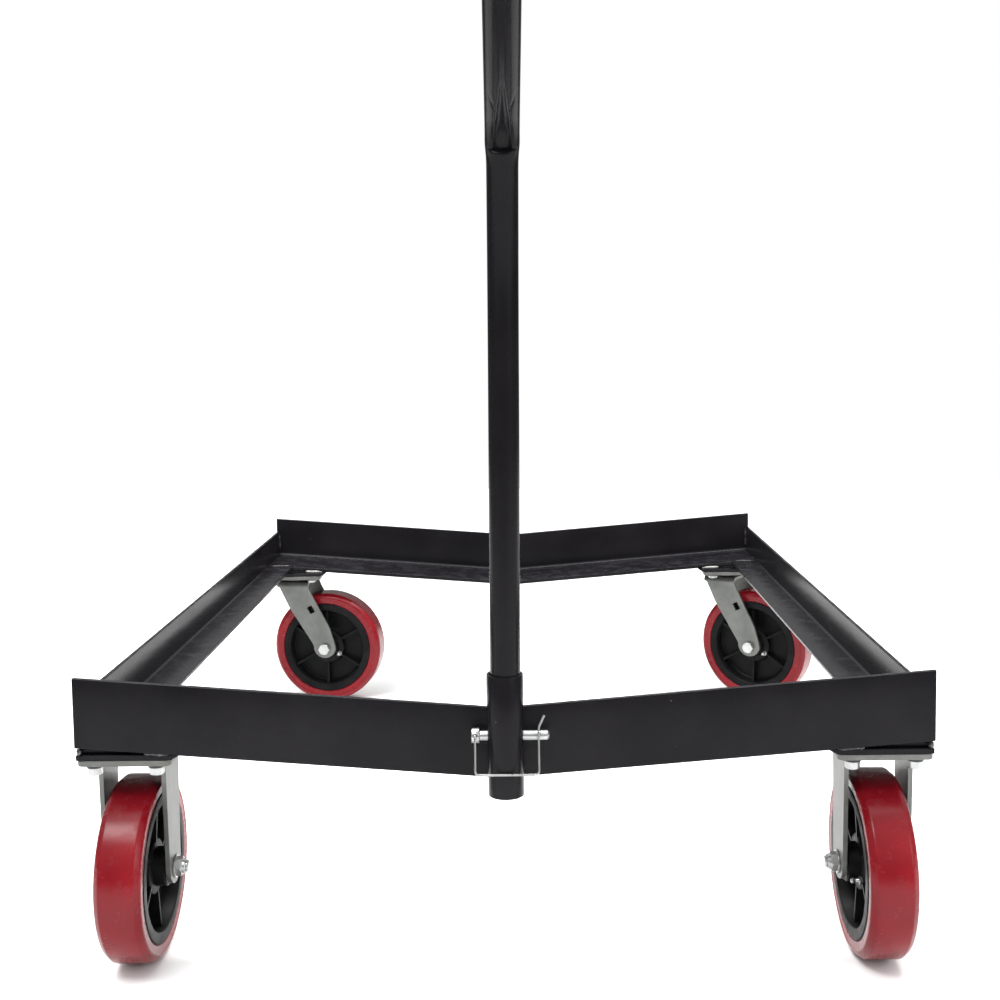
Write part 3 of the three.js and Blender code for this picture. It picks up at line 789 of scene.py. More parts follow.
class DOLLY_OT_welds(bpy.types.Operator):
    """Run the weld beads of the frame, mount plates and handle socket"""

    bl_idname = "dolly.welds"
    bl_label = "Welds"

    def execute(self, context):
        paint = context.scene.dolly_paint
        seed = 1
        for corner in CORNERS:
            seed = self.weld_plate(corner, paint.weld_radius, seed)
        for side in SIDES:
            seed = self.weld_side_rail(side, paint, seed)
        self.weld_socket(paint, seed)
        return {"FINISHED"}

    def weld_plate(self, corner, radius, seed):
        """Beads round one mount plate, with the end fillet, and a dark block in the wedge over it that
        paints the slot's shade.
        """
        low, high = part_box(f"{corner}_mount_plate")
        left = corner.endswith("left")
        front = corner.startswith("front")
        outer, inner, inward = (low.x, high.x, 1) if left else (high.x, low.x, -1)
        seat = high.z + 0.6 * MM
        edge_y = low.y + 0.4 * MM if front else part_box("rear_cross_rail")[0].y - 1.2 * MM

        def spot(x, inset, y, z):
            return Vector((x + inward * inset * MM, y, z))

        beads = [
            (spot(inner, -1.2, low.y + 6 * MM, seat), spot(inner, -1.2, high.y - 6 * MM, seat), 0.9),
            (spot(inner, -2, edge_y, seat + 0.4 * MM), spot(inner, -30, edge_y, seat + 1.3 * MM), 0.75),
            (spot(outer, 4, edge_y, seat), spot(outer, 4, edge_y, seat + 6.4 * MM), 1.0),
        ]
        meshes = []
        for start, end, size in beads:
            meshes.append(weld_bead(start, end, radius * size, seed))
            seed += 1
        thick = high.z - low.z
        fillet = [(-1 * MM, 0.6 * MM), (8 * MM, thick - 0.5 * MM), (-1 * MM, thick - 0.1 * MM)]
        # Dark block in the wedge between plate and rail: painted shade, standing where the slot is only in
        # shadow.
        shade_block = [(2 * MM, 0.1 * MM), (abs(inner - outer) - 6 * MM, 0.1 * MM), (2 * MM, 7.6 * MM)]
        filled = merged(
            bar_along_y(shade_block, outer, inward, high.z, (low.y + 7 * MM, high.y - 7 * MM)),
            bar_along_y(fillet, inner, inward, low.z, (low.y + 0.5 * MM, high.y - 0.5 * MM)),
        )
        # This piece holds the painted-shade block and the end fillet.
        finish_piece(f"{corner}_plate_shade_block_and_fillet", filled, materials["paint"], "frame")
        material = materials["weld"] if front else materials["bare_weld"]
        finish_piece(f"{corner}_plate_weld", merged(*meshes), material, "frame", sharp=50)
        return seed

    def weld_side_rail(self, side, paint, seed):
        """Beads at both ends of a side rail: along its ledge and up its inner corner."""
        low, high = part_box(f"{side}_side_rail")
        inner, outer, inward = (high.x, low.x, 1) if side == "left" else (low.x, high.x, -1)
        wall = outer + inward * paint.side_thickness
        ledge = low.z + paint.side_thickness
        meshes = []
        for rail, step in (("front_cross_rail", 1), ("rear_cross_rail", -1)):
            rail_low, rail_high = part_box(rail)
            if step > 0:
                edge, face = rail_high.y, rail_low.y + paint.rail_thickness
            else:
                edge, face = rail_low.y, rail_high.y - paint.rail_thickness
            edge += step * 0.4 * MM
            face += step * 1.4 * MM
            corner = wall + inward * 0.5 * MM
            meshes.append(weld_bead(
                Vector((inner - inward * 4 * MM, edge, ledge - 1.1 * MM)),
                Vector((wall + inward * 3 * MM, edge, ledge - 0.8 * MM)), paint.weld_radius * 0.6, seed,
            ))
            meshes.append(weld_bead(
                Vector((corner, face, high.z - 3 * MM)),
                Vector((corner, face, ledge + 8 * MM)), paint.weld_radius * 0.62, seed + 1,
            ))
            seed += 2
        finish_piece(
            f"{side}_corner_welds", merged(*meshes), materials["weld"], "frame", sharp=50
        )
        return seed

    def weld_socket(self, paint, seed):
        """Two upright beads between the handle socket and the front rail."""
        low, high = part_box("handle_socket")
        rail_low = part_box("front_cross_rail")[0]
        axis = (low + high) / 2
        reach = (high.x - low.x) / 2
        bottom = rail_low.z + 3 * MM
        top = rail_low.z + paint.rail_height - 2 * MM
        meshes = []
        for way in (-1, 1):
            x, y = axis.x + way * reach * 0.62, rail_low.y - 2.4 * MM
            start, end = Vector((x, y, bottom)), Vector((x, y, top))
            meshes.append(weld_bead(start, end, paint.weld_radius * 1.05, seed))
            seed += 1
        finish_piece("socket_weld", merged(*meshes), materials["weld"], "frame", sharp=50)


# ---- Fasteners ----------------------------------------------------------------------------


def hex_bar(across, start, end, chamfer):
    """Hexagonal bar along X with its outer end chamfered round."""
    radius = across / math.sqrt(3)
    turns = [math.radians(60 * i) for i in range(6)]
    bar = swept(
        [(radius * math.cos(turn), radius * math.sin(turn)) for turn in turns],
        [lambda p, x=x: Vector((x, p[0], p[1])) for x in (start, end)],
    )
    sign = 1 if end > start else -1
    cone = turned(
        [(start - sign * MM, 0), (start - sign * MM, radius + MM), (end - sign * chamfer, radius + 0.1 * MM),
         (end, across / 2 - 0.4 * MM), (end, 0)], 48,
    )
    return carve(bar, [cone], "INTERSECT")


def threaded_shank(radius, start, end, pitch):
    """Shank along X with thread grooves and a chamfered end."""
    points = [(start, 0), (start, radius)]
    sign = 1 if end > start else -1
    count = int(abs(end - start) / pitch) - 1
    for k in range(count):
        x = start + sign * (k + 0.5) * pitch
        flank = sign * 0.2 * pitch
        points += [(x - flank, radius), (x, radius - 0.55 * pitch), (x + flank, radius)]
    points += [(end - sign * 1.2 * MM, radius), (end, radius - 1.2 * MM), (end, 0)]
    return turned(points, 40)


def washer(inner, outer, start, end):
    """Flat washer along X."""
    edge = 0.25 * MM
    return turned(
        [(start, inner), (start, outer - edge), (start + edge, outer), (end - edge, outer),
         (end, outer - edge), (end, inner)], 48, closed=True,
    )


def mount_bolt_mesh(head_height):
    """Hex-head bolt along X, head toward -X, thread toward +X; the origin is under its head."""
    head = hex_bar(BOLT_ACROSS, 0, -head_height, 1.6 * MM)
    return merged(head, threaded_shank(BOLT_RADIUS, -0.5 * MM, BOLT_LENGTH, 1.5 * MM))


class DOLLY_OT_mount_bolts(bpy.types.Operator):
    """Set the bolts and washers that hold the casters to the mount plates"""

    bl_idname = "dolly.mount_bolts"
    bl_label = "Mount Bolts"

    def execute(self, context):
        plate = middle("front_left_top_plate")
        spots = [middle(f"front_left_mount_bolt_{i}") - plate for i in range(1, 5)]
        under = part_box("front_left_top_plate")[0].z - CLEARANCE
        deep_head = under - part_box("front_left_mount_bolt_1")[0].z
        for end, total in (("front", deep_head), ("rear", REAR_BOLT_HEAD)):
            flat = total * 0.24
            bolt = mount_bolt_mesh(total - flat)
            disc = washer(5.0 * MM, 9.1 * MM, -flat, 0)
            for corner in (f"{end}_{side}" for side in SIDES):
                centre = middle(f"{corner}_top_plate")
                for i, spot in enumerate(spots):
                    at = Vector((centre.x + spot.x, centre.y + spot.y, under))
                    turn = Matrix.Rotation(math.radians(17 + 41 * i + 23 * len(corner)), 4, "Z")
                    seat = Matrix.Translation(at - Vector((0, 0, flat))) @ turn @ UPRIGHT
                    replaced = [f"{corner}_mount_bolt_{i + 1}"] if end == "front" else []
                    bolt = finish_piece(
                        f"{corner}_hex_bolt_{i + 1}", bolt, materials["bright"], "frame",
                        replaced, seat, 0.25 * MM,
                    )
                    disc = finish_piece(
                        f"{corner}_washer_{i + 1}", disc, materials["washer"], "frame",
                        [], Matrix.Translation(at) @ turn @ UPRIGHT,
                    )
        return {"FINISHED"}


# ---- Wheels -------------------------------------------------------------------------------


def eased(before, corner, after, radius, steps=5):
    """Points that round a corner of an outline off by a small radius."""
    at = Vector(corner)
    first = (Vector(before) - at).normalized() * radius
    second = (Vector(after) - at).normalized() * radius
    points = []
    for k in range(steps + 1):
        t = k / steps
        points.append(tuple(at + first * (1 - t) ** 2 + second * t**2))
    return points


def tyre_mesh(half, radius, core_radius, shoulder):
    """Tyre ring: flat tread, sloping shoulders, and a side wall with a moulded step."""
    drop = shoulder * 0.66
    corners = [
        (half - 1.8 * MM, core_radius),
        (half - 0.9 * MM, core_radius + 1.4 * MM),
        (half - 0.5 * MM, radius - drop - 4.6 * MM),
        (half, radius - drop - 3.6 * MM),
        (half - 0.3 * MM, radius - drop),
        (half - shoulder * 0.85, radius),
        (half * 0.3, radius),
    ]
    wall = [corners[0]]
    for k, ease in ((1, 0.5), (2, 0.5), (3, 0.5), (4, 2.2), (5, 1.6)):
        wall += eased(corners[k - 1], corners[k], corners[k + 1], ease * MM)
    wall.append(corners[-1])
    mirrored = [(-x, r) for x, r in wall]
    return turned([*mirrored, *reversed(wall)], 160, closed=True)


def core_mesh(half_rim, core_radius, hub_half, hub_radius, bore, rib_count):
    """Wheel core: broad rim, thin web, boss, hub and ribs."""
    rim_inner = RIM_INNER
    web = 4 * MM
    boss = 30 * MM

    def half_profile(sign):
        return [
            (sign * hub_half, bore),
            (sign * hub_half, hub_radius - 1 * MM),
            (sign * (hub_half - 1 * MM), hub_radius),
            (sign * 17 * MM, hub_radius + 0.6 * MM),
            (sign * 16 * MM, boss - 1.2 * MM),
            (sign * 15 * MM, boss),
            (sign * (web + 2.5 * MM), boss + 1 * MM),
            (sign * web, boss + 3.5 * MM),
            (sign * web, rim_inner - 5 * MM),
            (sign * (web + 2.5 * MM), rim_inner - 2.2 * MM),
            (sign * (half_rim - 1.4 * MM), rim_inner),
            (sign * (half_rim - 0.4 * MM), rim_inner + 0.9 * MM),
            (sign * half_rim, rim_inner + 2 * MM),
            (sign * half_rim, core_radius - 1.4 * MM),
            (sign * (half_rim - 1.4 * MM), core_radius),
        ]

    body = turned([*half_profile(-1), *reversed(half_profile(1))], 120, closed=True)
    ribs = []
    inner_reach = hub_radius - 1 * MM
    outer_reach = rim_inner + 2 * MM
    for i in range(rib_count):
        outline = [
            (-16 * MM, inner_reach), (16 * MM, inner_reach),
            (half_rim - 6 * MM, outer_reach), (-half_rim + 6 * MM, outer_reach),
        ]
        rib = swept(outline, [
            lambda p, y=y: Vector((p[0], y * (1.0 + 10 * (p[1] - inner_reach)), p[1]))
            for y in (-1.5 * MM, 1.5 * MM)
        ])
        ribs.append(moved(rib, Matrix.Rotation(2 * math.pi * i / rib_count, 4, "X")))
    return carve(body, ribs, "UNION")


def grease_fitting_mesh():
    """Grease nipple along X: hexagonal seat, neck and ball end."""
    seat = hex_bar(8 * MM, 0, 4 * MM, 0.6 * MM)
    neck = turned(
        [(3.5 * MM, 0), (3.5 * MM, 3 * MM), (6 * MM, 2.6 * MM), (7 * MM, 2.1 * MM), (9 * MM, 2.1 * MM),
         (9.8 * MM, 3.1 * MM), (11.4 * MM, 3.1 * MM), (12.8 * MM, 1.8 * MM), (12.8 * MM, 0.7 * MM),
         (12.2 * MM, 0)], 28,
    )
    return merged(seat, neck)


def radius_and_half(low, high):
    """Radius and half width of a round node that lies along X."""
    return (high.z - low.z) / 2, (high.x - low.x) / 2


class DOLLY_OT_wheels(bpy.types.Operator):
    """Build the tyres, cores, bearings, hub sleeves and grease fittings"""

    bl_idname = "dolly.wheels"
    bl_label = "Wheels"

    def execute(self, context):
        wheel = context.scene.dolly_wheel
        radius, half = radius_and_half(*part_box("front_left_tyre"))
        core_radius, hub_half = radius_and_half(*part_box("front_left_wheel_core"))
        bearing_radius, bearing_half = radius_and_half(*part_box("front_left_wheel_bearing"))
        sleeve_radius, sleeve_half = radius_and_half(*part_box("front_left_hub_sleeve"))
        tyre = tyre_mesh(half, radius, core_radius + 0.15 * MM, wheel.shoulder)
        core = core_mesh(
            half - 0.4 * MM, core_radius, hub_half, HUB_RADIUS, bearing_radius + CLEARANCE, wheel.rib_count
        )
        fitting = grease_fitting_mesh()
        bearing = washer(sleeve_radius + CLEARANCE, bearing_radius, -bearing_half, bearing_half)
        sleeve = washer(AXLE_RADIUS + CLEARANCE, sleeve_radius, -sleeve_half, sleeve_half)
        for corner in CORNERS:
            place = axle_place(corner)
            body = f"{corner}_wheel"
            tyre = finish_piece(
                f"{corner}_tread", tyre, materials["tyre"], body,
                [f"{corner}_tyre"], place, sharp=60,
            )
            core = finish_piece(
                f"{corner}_core", core, materials["core"], body,
                [f"{corner}_wheel_core"], place, sharp=38,
            )
            fitting_side = 1 if corner == "front_left" else -1
            reach = math.radians(62 * fitting_side)
            spot = Vector((fitting_side * 15.5 * MM, 26 * MM * math.sin(reach), -26 * MM * math.cos(reach)))
            facing = Matrix.Rotation(math.pi if fitting_side < 0 else 0, 4, "Z")
            fitting = finish_piece(
                f"{corner}_grease_fitting", fitting, materials["bright"], body,
                [], place @ Matrix.Translation(spot) @ facing, 0.2 * MM,
            )
            bearing = finish_piece(
                f"{corner}_bearing", bearing, materials["bearing"], body,
                [f"{corner}_wheel_bearing"], place,
            )
            sleeve = finish_piece(
                f"{corner}_sleeve", sleeve, materials["bearing"], fork_body(corner),
                [f"{corner}_hub_sleeve"], place,
            )
        return {"FINISHED"}


# ---- Casters ------------------------------------------------------------------------------


def along(table, z):
    """Value at height z from (height, value) pairs that run from high to low."""
    for (z1, v1), (z0, v0) in zip(table, table[1:]):
        if z >= z0:
            return v0 + (v1 - v0) * (z - z0) / (z1 - z0)
    return table[-1][1]


def fork_mesh(top, front_edge, back_edge, foot, half, thickness, bend):
    """Fork pressed from plate: leg edges as (height, y) tables, foot as (y, z, radius)."""
    foot_y, foot_z, foot_radius = foot
    low = foot_z - foot_radius

    def span(z):
        y0, y1 = along(front_edge, z), along(back_edge, z)
        if z < foot_z:
            reach = math.sqrt(max(0.0, foot_radius**2 - (z - foot_z) ** 2))
            y0, y1 = foot_y - reach, foot_y + reach
        return y0, y1

    heights = [low + foot_radius * (1 - math.cos(math.radians(a))) for a in range(2, 91, 8)]
    z = foot_z + 6 * MM
    while z < top - bend:
        heights.append(z)
        z += 7 * MM
    leg = [(half, z, span(z)) for z in heights]
    crown = [(x, z, span(top)) for x, z in arc((half - bend, top - bend), bend, 0, 90, 6)]
    right = leg + crown
    rows = right + [(-x, z, s) for x, z, s in reversed(right)]
    mesh = bmesh.new()
    grid = []
    columns = 8
    for x, z, (y0, y1) in rows:
        grid.append([mesh.verts.new((x, y0 + (y1 - y0) * k / columns, z)) for k in range(columns + 1)])
    for lower, upper in zip(grid, grid[1:]):
        for k in range(columns):
            mesh.faces.new((lower[k], lower[k + 1], upper[k + 1], upper[k]))
    bmesh.ops.remove_doubles(mesh, verts=mesh.verts, dist=0.02 * MM)
    bmesh.ops.recalc_face_normals(mesh, faces=mesh.faces)
    centre = Vector((0, foot_y, top - 40 * MM))
    outer = max(mesh.faces, key=lambda f: abs(f.calc_center_median().x))
    if outer.normal.dot(outer.calc_center_median() - centre) < 0:
        bmesh.ops.reverse_faces(mesh, faces=mesh.faces)
    sheet = as_object("fork_sheet", mesh)
    step = sheet.modifiers.new("plate", "SOLIDIFY")
    step.thickness = thickness
    step.offset = -1
    step.use_even_offset = True
    graph = bpy.context.evaluated_depsgraph_get()
    solid = bmesh.new()
    solid.from_object(sheet, graph)
    data = sheet.data
    bpy.data.objects.remove(sheet)
    bpy.data.meshes.remove(data)
    return solid


def rounded_plate(low, high, corner):
    """Flat plate with rounded corners between two box corners."""
    centre = (low + high) / 2
    x, y = (high.x - low.x) / 2 - corner, (high.y - low.y) / 2 - corner
    outline = [
        *arc((x, y), corner, 0, 90, 8), *arc((-x, y), corner, 90, 180, 8),
        *arc((-x, -y), corner, 180, 270, 8), *arc((x, -y), corner, 270, 360, 8),
    ]
    return swept(outline, [
        lambda p, z=z: Vector((centre.x + p[0], centre.y + p[1], z)) for z in (low.z, high.z)
    ])


class DOLLY_OT_forks(bpy.types.Operator):
    """Press the rigid and swivel forks"""

    bl_idname = "dolly.forks"
    bl_label = "Forks"

    def execute(self, context):
        low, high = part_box("front_left_fork")
        half = (high.x - low.x) / 2
        axle = axle_place("front_left").translation.z
        rigid = fork_mesh(
            high.z, [(high.z, -26.8 * MM), (axle + 4 * MM, -22 * MM)],
            [(high.z, 26.8 * MM), (axle + 4 * MM, 22 * MM)],
            (0, axle + 4 * MM, 22 * MM), half, FORK_THICKNESS, FORK_BEND,
        )
        low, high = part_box("rear_left_fork")
        trail = SWIVEL_TRAIL
        swivel = fork_mesh(
            high.z,
            [(high.z, -30 * MM), (axle + 112 * MM, trail + 28 * MM), (axle + 95 * MM, trail + 19 * MM),
             (axle + 40 * MM, trail - 10 * MM), (axle + 6 * MM, trail - 20.5 * MM)],
            [(high.z, 30 * MM), (axle + 124 * MM, trail + 89 * MM), (axle + 79 * MM, trail + 67.5 * MM),
             (axle + 6 * MM, trail + 20.5 * MM)],
            (trail, axle + 4 * MM, 21 * MM), half, FORK_THICKNESS, FORK_BEND,
        )
        rake = Matrix.Rotation(math.radians(-28), 4, "X")
        window = moved(block((120 * MM, 10 * MM, 14 * MM), (0, 0, 0)), rake)
        window = moved(window, Matrix.Translation((0, trail + 25 * MM, axle + 74 * MM)))
        swivel = carve(swivel, [window], "DIFFERENCE")
        for corner in CORNERS:
            fork = rigid if corner.startswith("front") else swivel
            made = finish_piece(
                f"{corner}_pressed_fork", fork, materials["satin"], fork_body(corner),
                [f"{corner}_fork"], fork_place(corner), 0.7 * MM, sharp=30,
            )
            if corner.startswith("front"):
                rigid = made
            else:
                swivel = made
        return {"FINISHED"}


def seat_of(low, high):
    """Upright place, radius and height of a round node that stands."""
    centre = (low + high) / 2
    place = Matrix.Translation((centre.x, centre.y, low.z)) @ UPRIGHT
    return place, (high.x - low.x) / 2, high.z - low.z


class DOLLY_OT_caster_plates(bpy.types.Operator):
    """Build the caster top plates, raceways and kingpins"""

    bl_idname = "dolly.caster_plates"
    bl_label = "Caster Plates"

    def execute(self, context):
        for corner in CORNERS:
            node = f"{corner}_top_plate"
            finish_piece(
                f"{corner}_plate", rounded_plate(*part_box(node), 8 * MM), materials["satin"],
                "frame", [node], edge=0.8 * MM,
            )
            if corner.startswith("front"):
                continue
            seat, radius, height = seat_of(*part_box(f"{corner}_raceway"))
            bore = KINGPIN_RADIUS + CLEARANCE
            race = turned(
                [(0, bore), (0, radius - 4 * MM), (1.2 * MM, radius - 2 * MM), (2.6 * MM, radius - 1.6 * MM),
                 (3.2 * MM, radius - 2.6 * MM), (3.8 * MM, radius - 1.2 * MM), (5 * MM, radius),
                 (height, radius), (height, bore)], 96, closed=True,
            )
            finish_piece(
                f"{corner}_ball_race", race, materials["satin"], "frame",
                [f"{corner}_raceway"], seat,
            )
            seat, head, height = seat_of(*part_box(f"{corner}_kingpin"))
            pin = turned(
                [(0, 0), (0.2 * MM, 6 * MM), (1.2 * MM, 10 * MM), (3.4 * MM, 12.8 * MM), (5.6 * MM, head),
                 (7 * MM, head), (7 * MM, KINGPIN_RADIUS), (height, KINGPIN_RADIUS), (height, 0)], 64,
            )
            finish_piece(
                f"{corner}_king_bolt", pin, materials["bright"], "frame",
                [f"{corner}_kingpin"], seat,
            )
        return {"FINISHED"}


class DOLLY_OT_axles(bpy.types.Operator):
    """Build the axle bolts, washers and lock nuts"""

    bl_idname = "dolly.axles"
    bl_label = "Axles"

    def execute(self, context):
        low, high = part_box("front_left_fork")
        face = (high.x - low.x) / 2 + CLEARANCE
        head = hex_bar(AXLE_ACROSS, -face, -face - 7.8 * MM, 1.8 * MM)
        shank = threaded_shank(AXLE_RADIUS, -face - 0.5 * MM, face + 14.8 * MM, 1.9 * MM)
        bolt = merged(head, shank)
        nut_body = hex_bar(AXLE_ACROSS, face + 1.6 * MM, face + 8.4 * MM, 1.6 * MM)
        collar = turned(
            [(face + 8 * MM, NUT_BORE), (face + 8 * MM, 8.6 * MM), (face + 11 * MM, 8.4 * MM),
             (face + 12 * MM, 7.6 * MM), (face + 12 * MM, NUT_BORE)], 48, closed=True,
        )
        nut = merged(nut_body, collar, washer(NUT_BORE, 12.5 * MM, face - 0.2 * MM, face + 1.6 * MM))
        for corner in CORNERS:
            place = axle_place(corner)
            nut_centre = place.inverted() @ middle(f"{corner}_axle_nut")
            turn = Matrix.Rotation(0 if nut_centre.x > 0 else math.pi, 4, "Z")
            bolt = finish_piece(
                f"{corner}_axle", bolt, materials["bright"], fork_body(corner),
                [f"{corner}_axle_bolt"], place @ turn, 0.25 * MM,
            )
            nut = finish_piece(
                f"{corner}_lock_nut", nut, materials["bright"], fork_body(corner),
                [f"{corner}_axle_nut"], place @ turn, 0.25 * MM,
            )
        return {"FINISHED"}


# ---- Handle -------------------------------------------------------------------------------


class DOLLY_OT_socket(bpy.types.Operator):
    """Build the handle socket"""

    bl_idname = "dolly.socket"
    bl_label = "Handle Socket"

    def execute(self, context):
        low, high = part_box("handle_socket")
        centre = (low + high) / 2
        radius = (high.x - low.x) / 2
        bore = 16.5 * MM
        height = high.z - low.z
        edge = 0.6 * MM
        tube = turned(
            [(0, bore + edge), (0, radius - edge), (edge * 0.3, radius - edge * 0.3), (edge, radius),
             (height - edge, radius), (height - edge * 0.3, radius - edge * 0.3), (height, radius - edge),
             (height, bore + edge), (height - edge, bore), (edge, bore)], 96, closed=True,
        )
        place = Matrix.Translation((centre.x, centre.y, low.z)) @ UPRIGHT
        pin = middle("hitch_pin")
        hole = cross_hole(SOCKET_PIN_HOLE, 40 * MM, 40)
        hole = moved(hole, place.inverted() @ Matrix.Translation((centre.x, centre.y, pin.z)))
        mesh = carve(tube, [hole], "DIFFERENCE")
        finish_piece(
            "socket_tube", mesh, materials["paint"], "frame", ["handle_socket"], place,
            sharp=30,
        )
        return {"FINISHED"}


def handle_place(handle):
    """Matrix of the loose handle: it leans and twists in its socket about the hitch pin."""
    socket = middle("handle_socket")
    pin_height = middle("hitch_pin").z
    turn = Matrix.Rotation(handle.lean, 4, "Y") @ Matrix.Rotation(handle.twist, 4, "Z")
    pivot = Matrix.Translation((socket.x, socket.y, pin_height))
    return pivot @ turn @ Matrix.Translation((0, 0, -pin_height))


def post_line(handle, bottom, bar):
    """Places up the post as (y, z, turn, share of the tight bend), from its foot to the grip bar."""
    places = [(0.0, bottom, 0.0, 0.0), (0.0, (bottom + handle.bow_start) / 2, 0.0, 0.0)]
    arcs = (
        (handle.bow_radius, 0.0, handle.bow_angle, 30, False),
        (handle.bend_radius, handle.bow_angle, handle.arm_angle, 110, True),
    )
    y, z = 0.0, handle.bow_start
    for radius, start, end, steps, tight in arcs:
        y0, z0 = y, z
        for i in range(1 if tight else 0, steps + 1):
            turn = start + (end - start) * i / steps
            y = y0 + radius * (math.cos(turn) - math.cos(start))
            z = z0 + radius * (math.sin(turn) - math.sin(start))
            places.append((y, z, turn, i / steps if tight else 0.0))
    reach = (bar.z - z) / math.cos(handle.arm_angle)
    for share in [0.01 * k for k in range(1, 21)] + [0.4, 0.7, 1.0]:
        s = reach * share
        past = 1 + s / (handle.bend_radius * (handle.arm_angle - handle.bow_angle))
        places.append((y - s * math.sin(handle.arm_angle), z + s * math.cos(handle.arm_angle), turn, past))
    return places


def crease_depth(share, aside):
    """Depth, from 0 to 1, of the crease at a share of the bend and a distance aside of its middle."""
    fold, apex = 0.36, 2.1
    if share < fold:
        along = math.exp(-(((fold - share) / 0.035) ** 2))
        spread = 0.62
    else:
        along = max(0.0, (apex - share) / (apex - fold)) ** 0.65
        spread = 0.05 + 0.5 * along**1.6
    return along * math.exp(-((aside / spread) ** 4))


def post_stations(handle, radius, places):
    """Stations of the tube: it is squeezed wide in the tight bend and creased on its inner side."""
    stations = []
    for y, z, turn, share in places:
        squeeze = math.sin(math.pi * min(share, 0.5)) ** 2

        def place(point, y=y, z=z, turn=turn, share=share, squeeze=squeeze):
            aside = abs(point[0]) / radius
            inner = max(0.0, -point[1] / radius)
            notch = crease_depth(share, aside) * min(1.0, inner * 1.6)
            bulge = math.exp(-(((share - 0.36) / 0.12) ** 2) - ((aside - 0.86) / 0.16) ** 2)
            fold_line = math.exp(-(((share - 1.35 - 0.8 * (aside - 0.5)) / 0.05) ** 2))
            fold_line *= math.exp(-(((aside - 0.6) / 0.2) ** 2)) * inner
            across = point[0] * (1 + 0.07 * squeeze + 0.035 * bulge)
            depth = point[1] * (1 - 0.1 * squeeze) + handle.dent * notch
            depth += 0.9 * MM * fold_line - 0.8 * MM * bulge * inner
            return Vector((across, y + depth * math.cos(turn), z + depth * math.sin(turn)))

        stations.append(place)
    return stations


def cross_hole(radius, half, segments=64):
    """Round cutter along X."""
    return turned([(-half, 0), (-half, radius), (half, radius), (half, 0)], segments)


class DOLLY_OT_post(bpy.types.Operator):
    """Bend the handle post"""

    bl_idname = "dolly.post"
    bl_label = "Handle Post"

    def execute(self, context):
        handle = context.scene.dolly_handle
        place = handle_place(handle)
        bar = place.inverted() @ middle("grip_bar")
        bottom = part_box("handle_post")[0].z + 0.1 * MM
        places = post_line(handle, bottom, bar)
        outer = swept(ring(handle.tube_radius, 96), post_stations(handle, handle.tube_radius, places))
        inner_radius = handle.tube_radius - handle.wall
        longer = [(y, z - 5 * MM, turn, share) if z == bottom else (y, z, turn, share)
                  for y, z, turn, share in places]
        y, z, turn, share = places[-1]
        longer.append((y - 9 * MM * math.sin(turn), z + 9 * MM * math.cos(turn), turn, share))
        inner = swept(ring(inner_radius, 64), post_stations(handle, inner_radius, longer))
        saddle = cross_hole(handle.tube_radius + CLEARANCE, 60 * MM)
        saddle = moved(saddle, Matrix.Translation((0, bar.y, bar.z)))
        pin_height = middle("hitch_pin").z
        pin_hole = moved(cross_hole(POST_PIN_HOLE, 40 * MM), Matrix.Translation((0, 0, pin_height)))
        mesh = carve(outer, [inner, saddle, pin_hole], "DIFFERENCE")
        finish_piece(
            "post_tube", mesh, materials["paint"], "frame", ["handle_post"], place, sharp=50
        )
        self.weld_grip_bar(handle, place, bar)
        return {"FINISHED"}

    def weld_grip_bar(self, handle, place, bar):
        """Fillet weld round the saddle where the post meets the grip bar."""
        reach = handle.tube_radius + 0.6 * MM
        lean = Matrix.Rotation(handle.arm_angle, 4, "X")
        points = []
        for k in range(73):
            turn = 2 * math.pi * k / 72
            x, across = reach * math.cos(turn), reach * math.sin(turn)
            sink = math.sqrt(max(0.0, (reach + 0.8 * MM) ** 2 - across**2))
            points.append(bar + lean @ Vector((x, across, -sink)))
        bead = wire_mesh(points, [0.05 * MM] * len(points), 2.4 * MM, 12)
        finish_piece("grip_bar_weld", bead, materials["weld"], "frame", place=place, sharp=50)


class DOLLY_OT_grips(bpy.types.Operator):
    """Build the grip bar and its rubber grips"""

    bl_idname = "dolly.grips"
    bl_label = "Grips"

    def execute(self, context):
        handle = context.scene.dolly_handle
        place = handle_place(handle)
        centre = Matrix.Translation(place.inverted() @ middle("grip_bar"))
        radius, half = handle.tube_radius, handle.bar_length / 2
        edge = 0.3 * MM
        tube = turned(
            [(-half, radius - handle.wall), (-half, radius - edge), (-half + edge, radius),
             (half - edge, radius), (half, radius - edge), (half, radius - handle.wall)], 96, closed=True,
        )
        finish_piece(
            "grip_bar_tube", tube, materials["paint"], "frame", ["grip_bar"], place @ centre
        )
        sleeve = self.sleeve(handle, radius + edge)
        for side in SIDES:
            turn = Matrix.Rotation(0 if side == "right" else math.pi, 4, "Z")
            sleeve = finish_piece(
                f"{side}_grip_sleeve", sleeve, materials["grip"], "frame",
                [f"{side}_grip"], place @ centre @ turn, sharp=35,
            )
        return {"FINISHED"}

    def sleeve(self, handle, bore):
        """Ribbed closed-end grip along X, for the right-hand end of the bar."""
        end = handle.bar_length / 2 + GRIP_END
        start = end - handle.grip_length
        flange, body = GRIP_FLANGE, GRIP_RADIUS
        profile = [(start, bore), (start, flange - 0.8 * MM), (start + 0.8 * MM, flange),
                   (start + 4.2 * MM, flange), (start + 5 * MM, flange - 0.8 * MM), (start + 7 * MM, body)]
        first, last, ribs = start + 12 * MM, end - 16 * MM, 14
        pitch = (last - first) / ribs
        for k in range(ribs):
            x = first + pitch * k
            for step, sink in ((0, 0.1), (0.12, 1.1), (0.3, 1.1), (0.42, 0.1)):
                profile.append((x + step * pitch, body - sink * MM))
        profile += [(end - 6 * MM, body), (end - 2 * MM, body - 1.2 * MM), (end - 0.5 * MM, body - 4 * MM),
                    (end, body - 7 * MM), (end, 0), (end - 4.7 * MM, 0), (end - 4.7 * MM, bore)]
        return turned(profile, 80, closed=True)


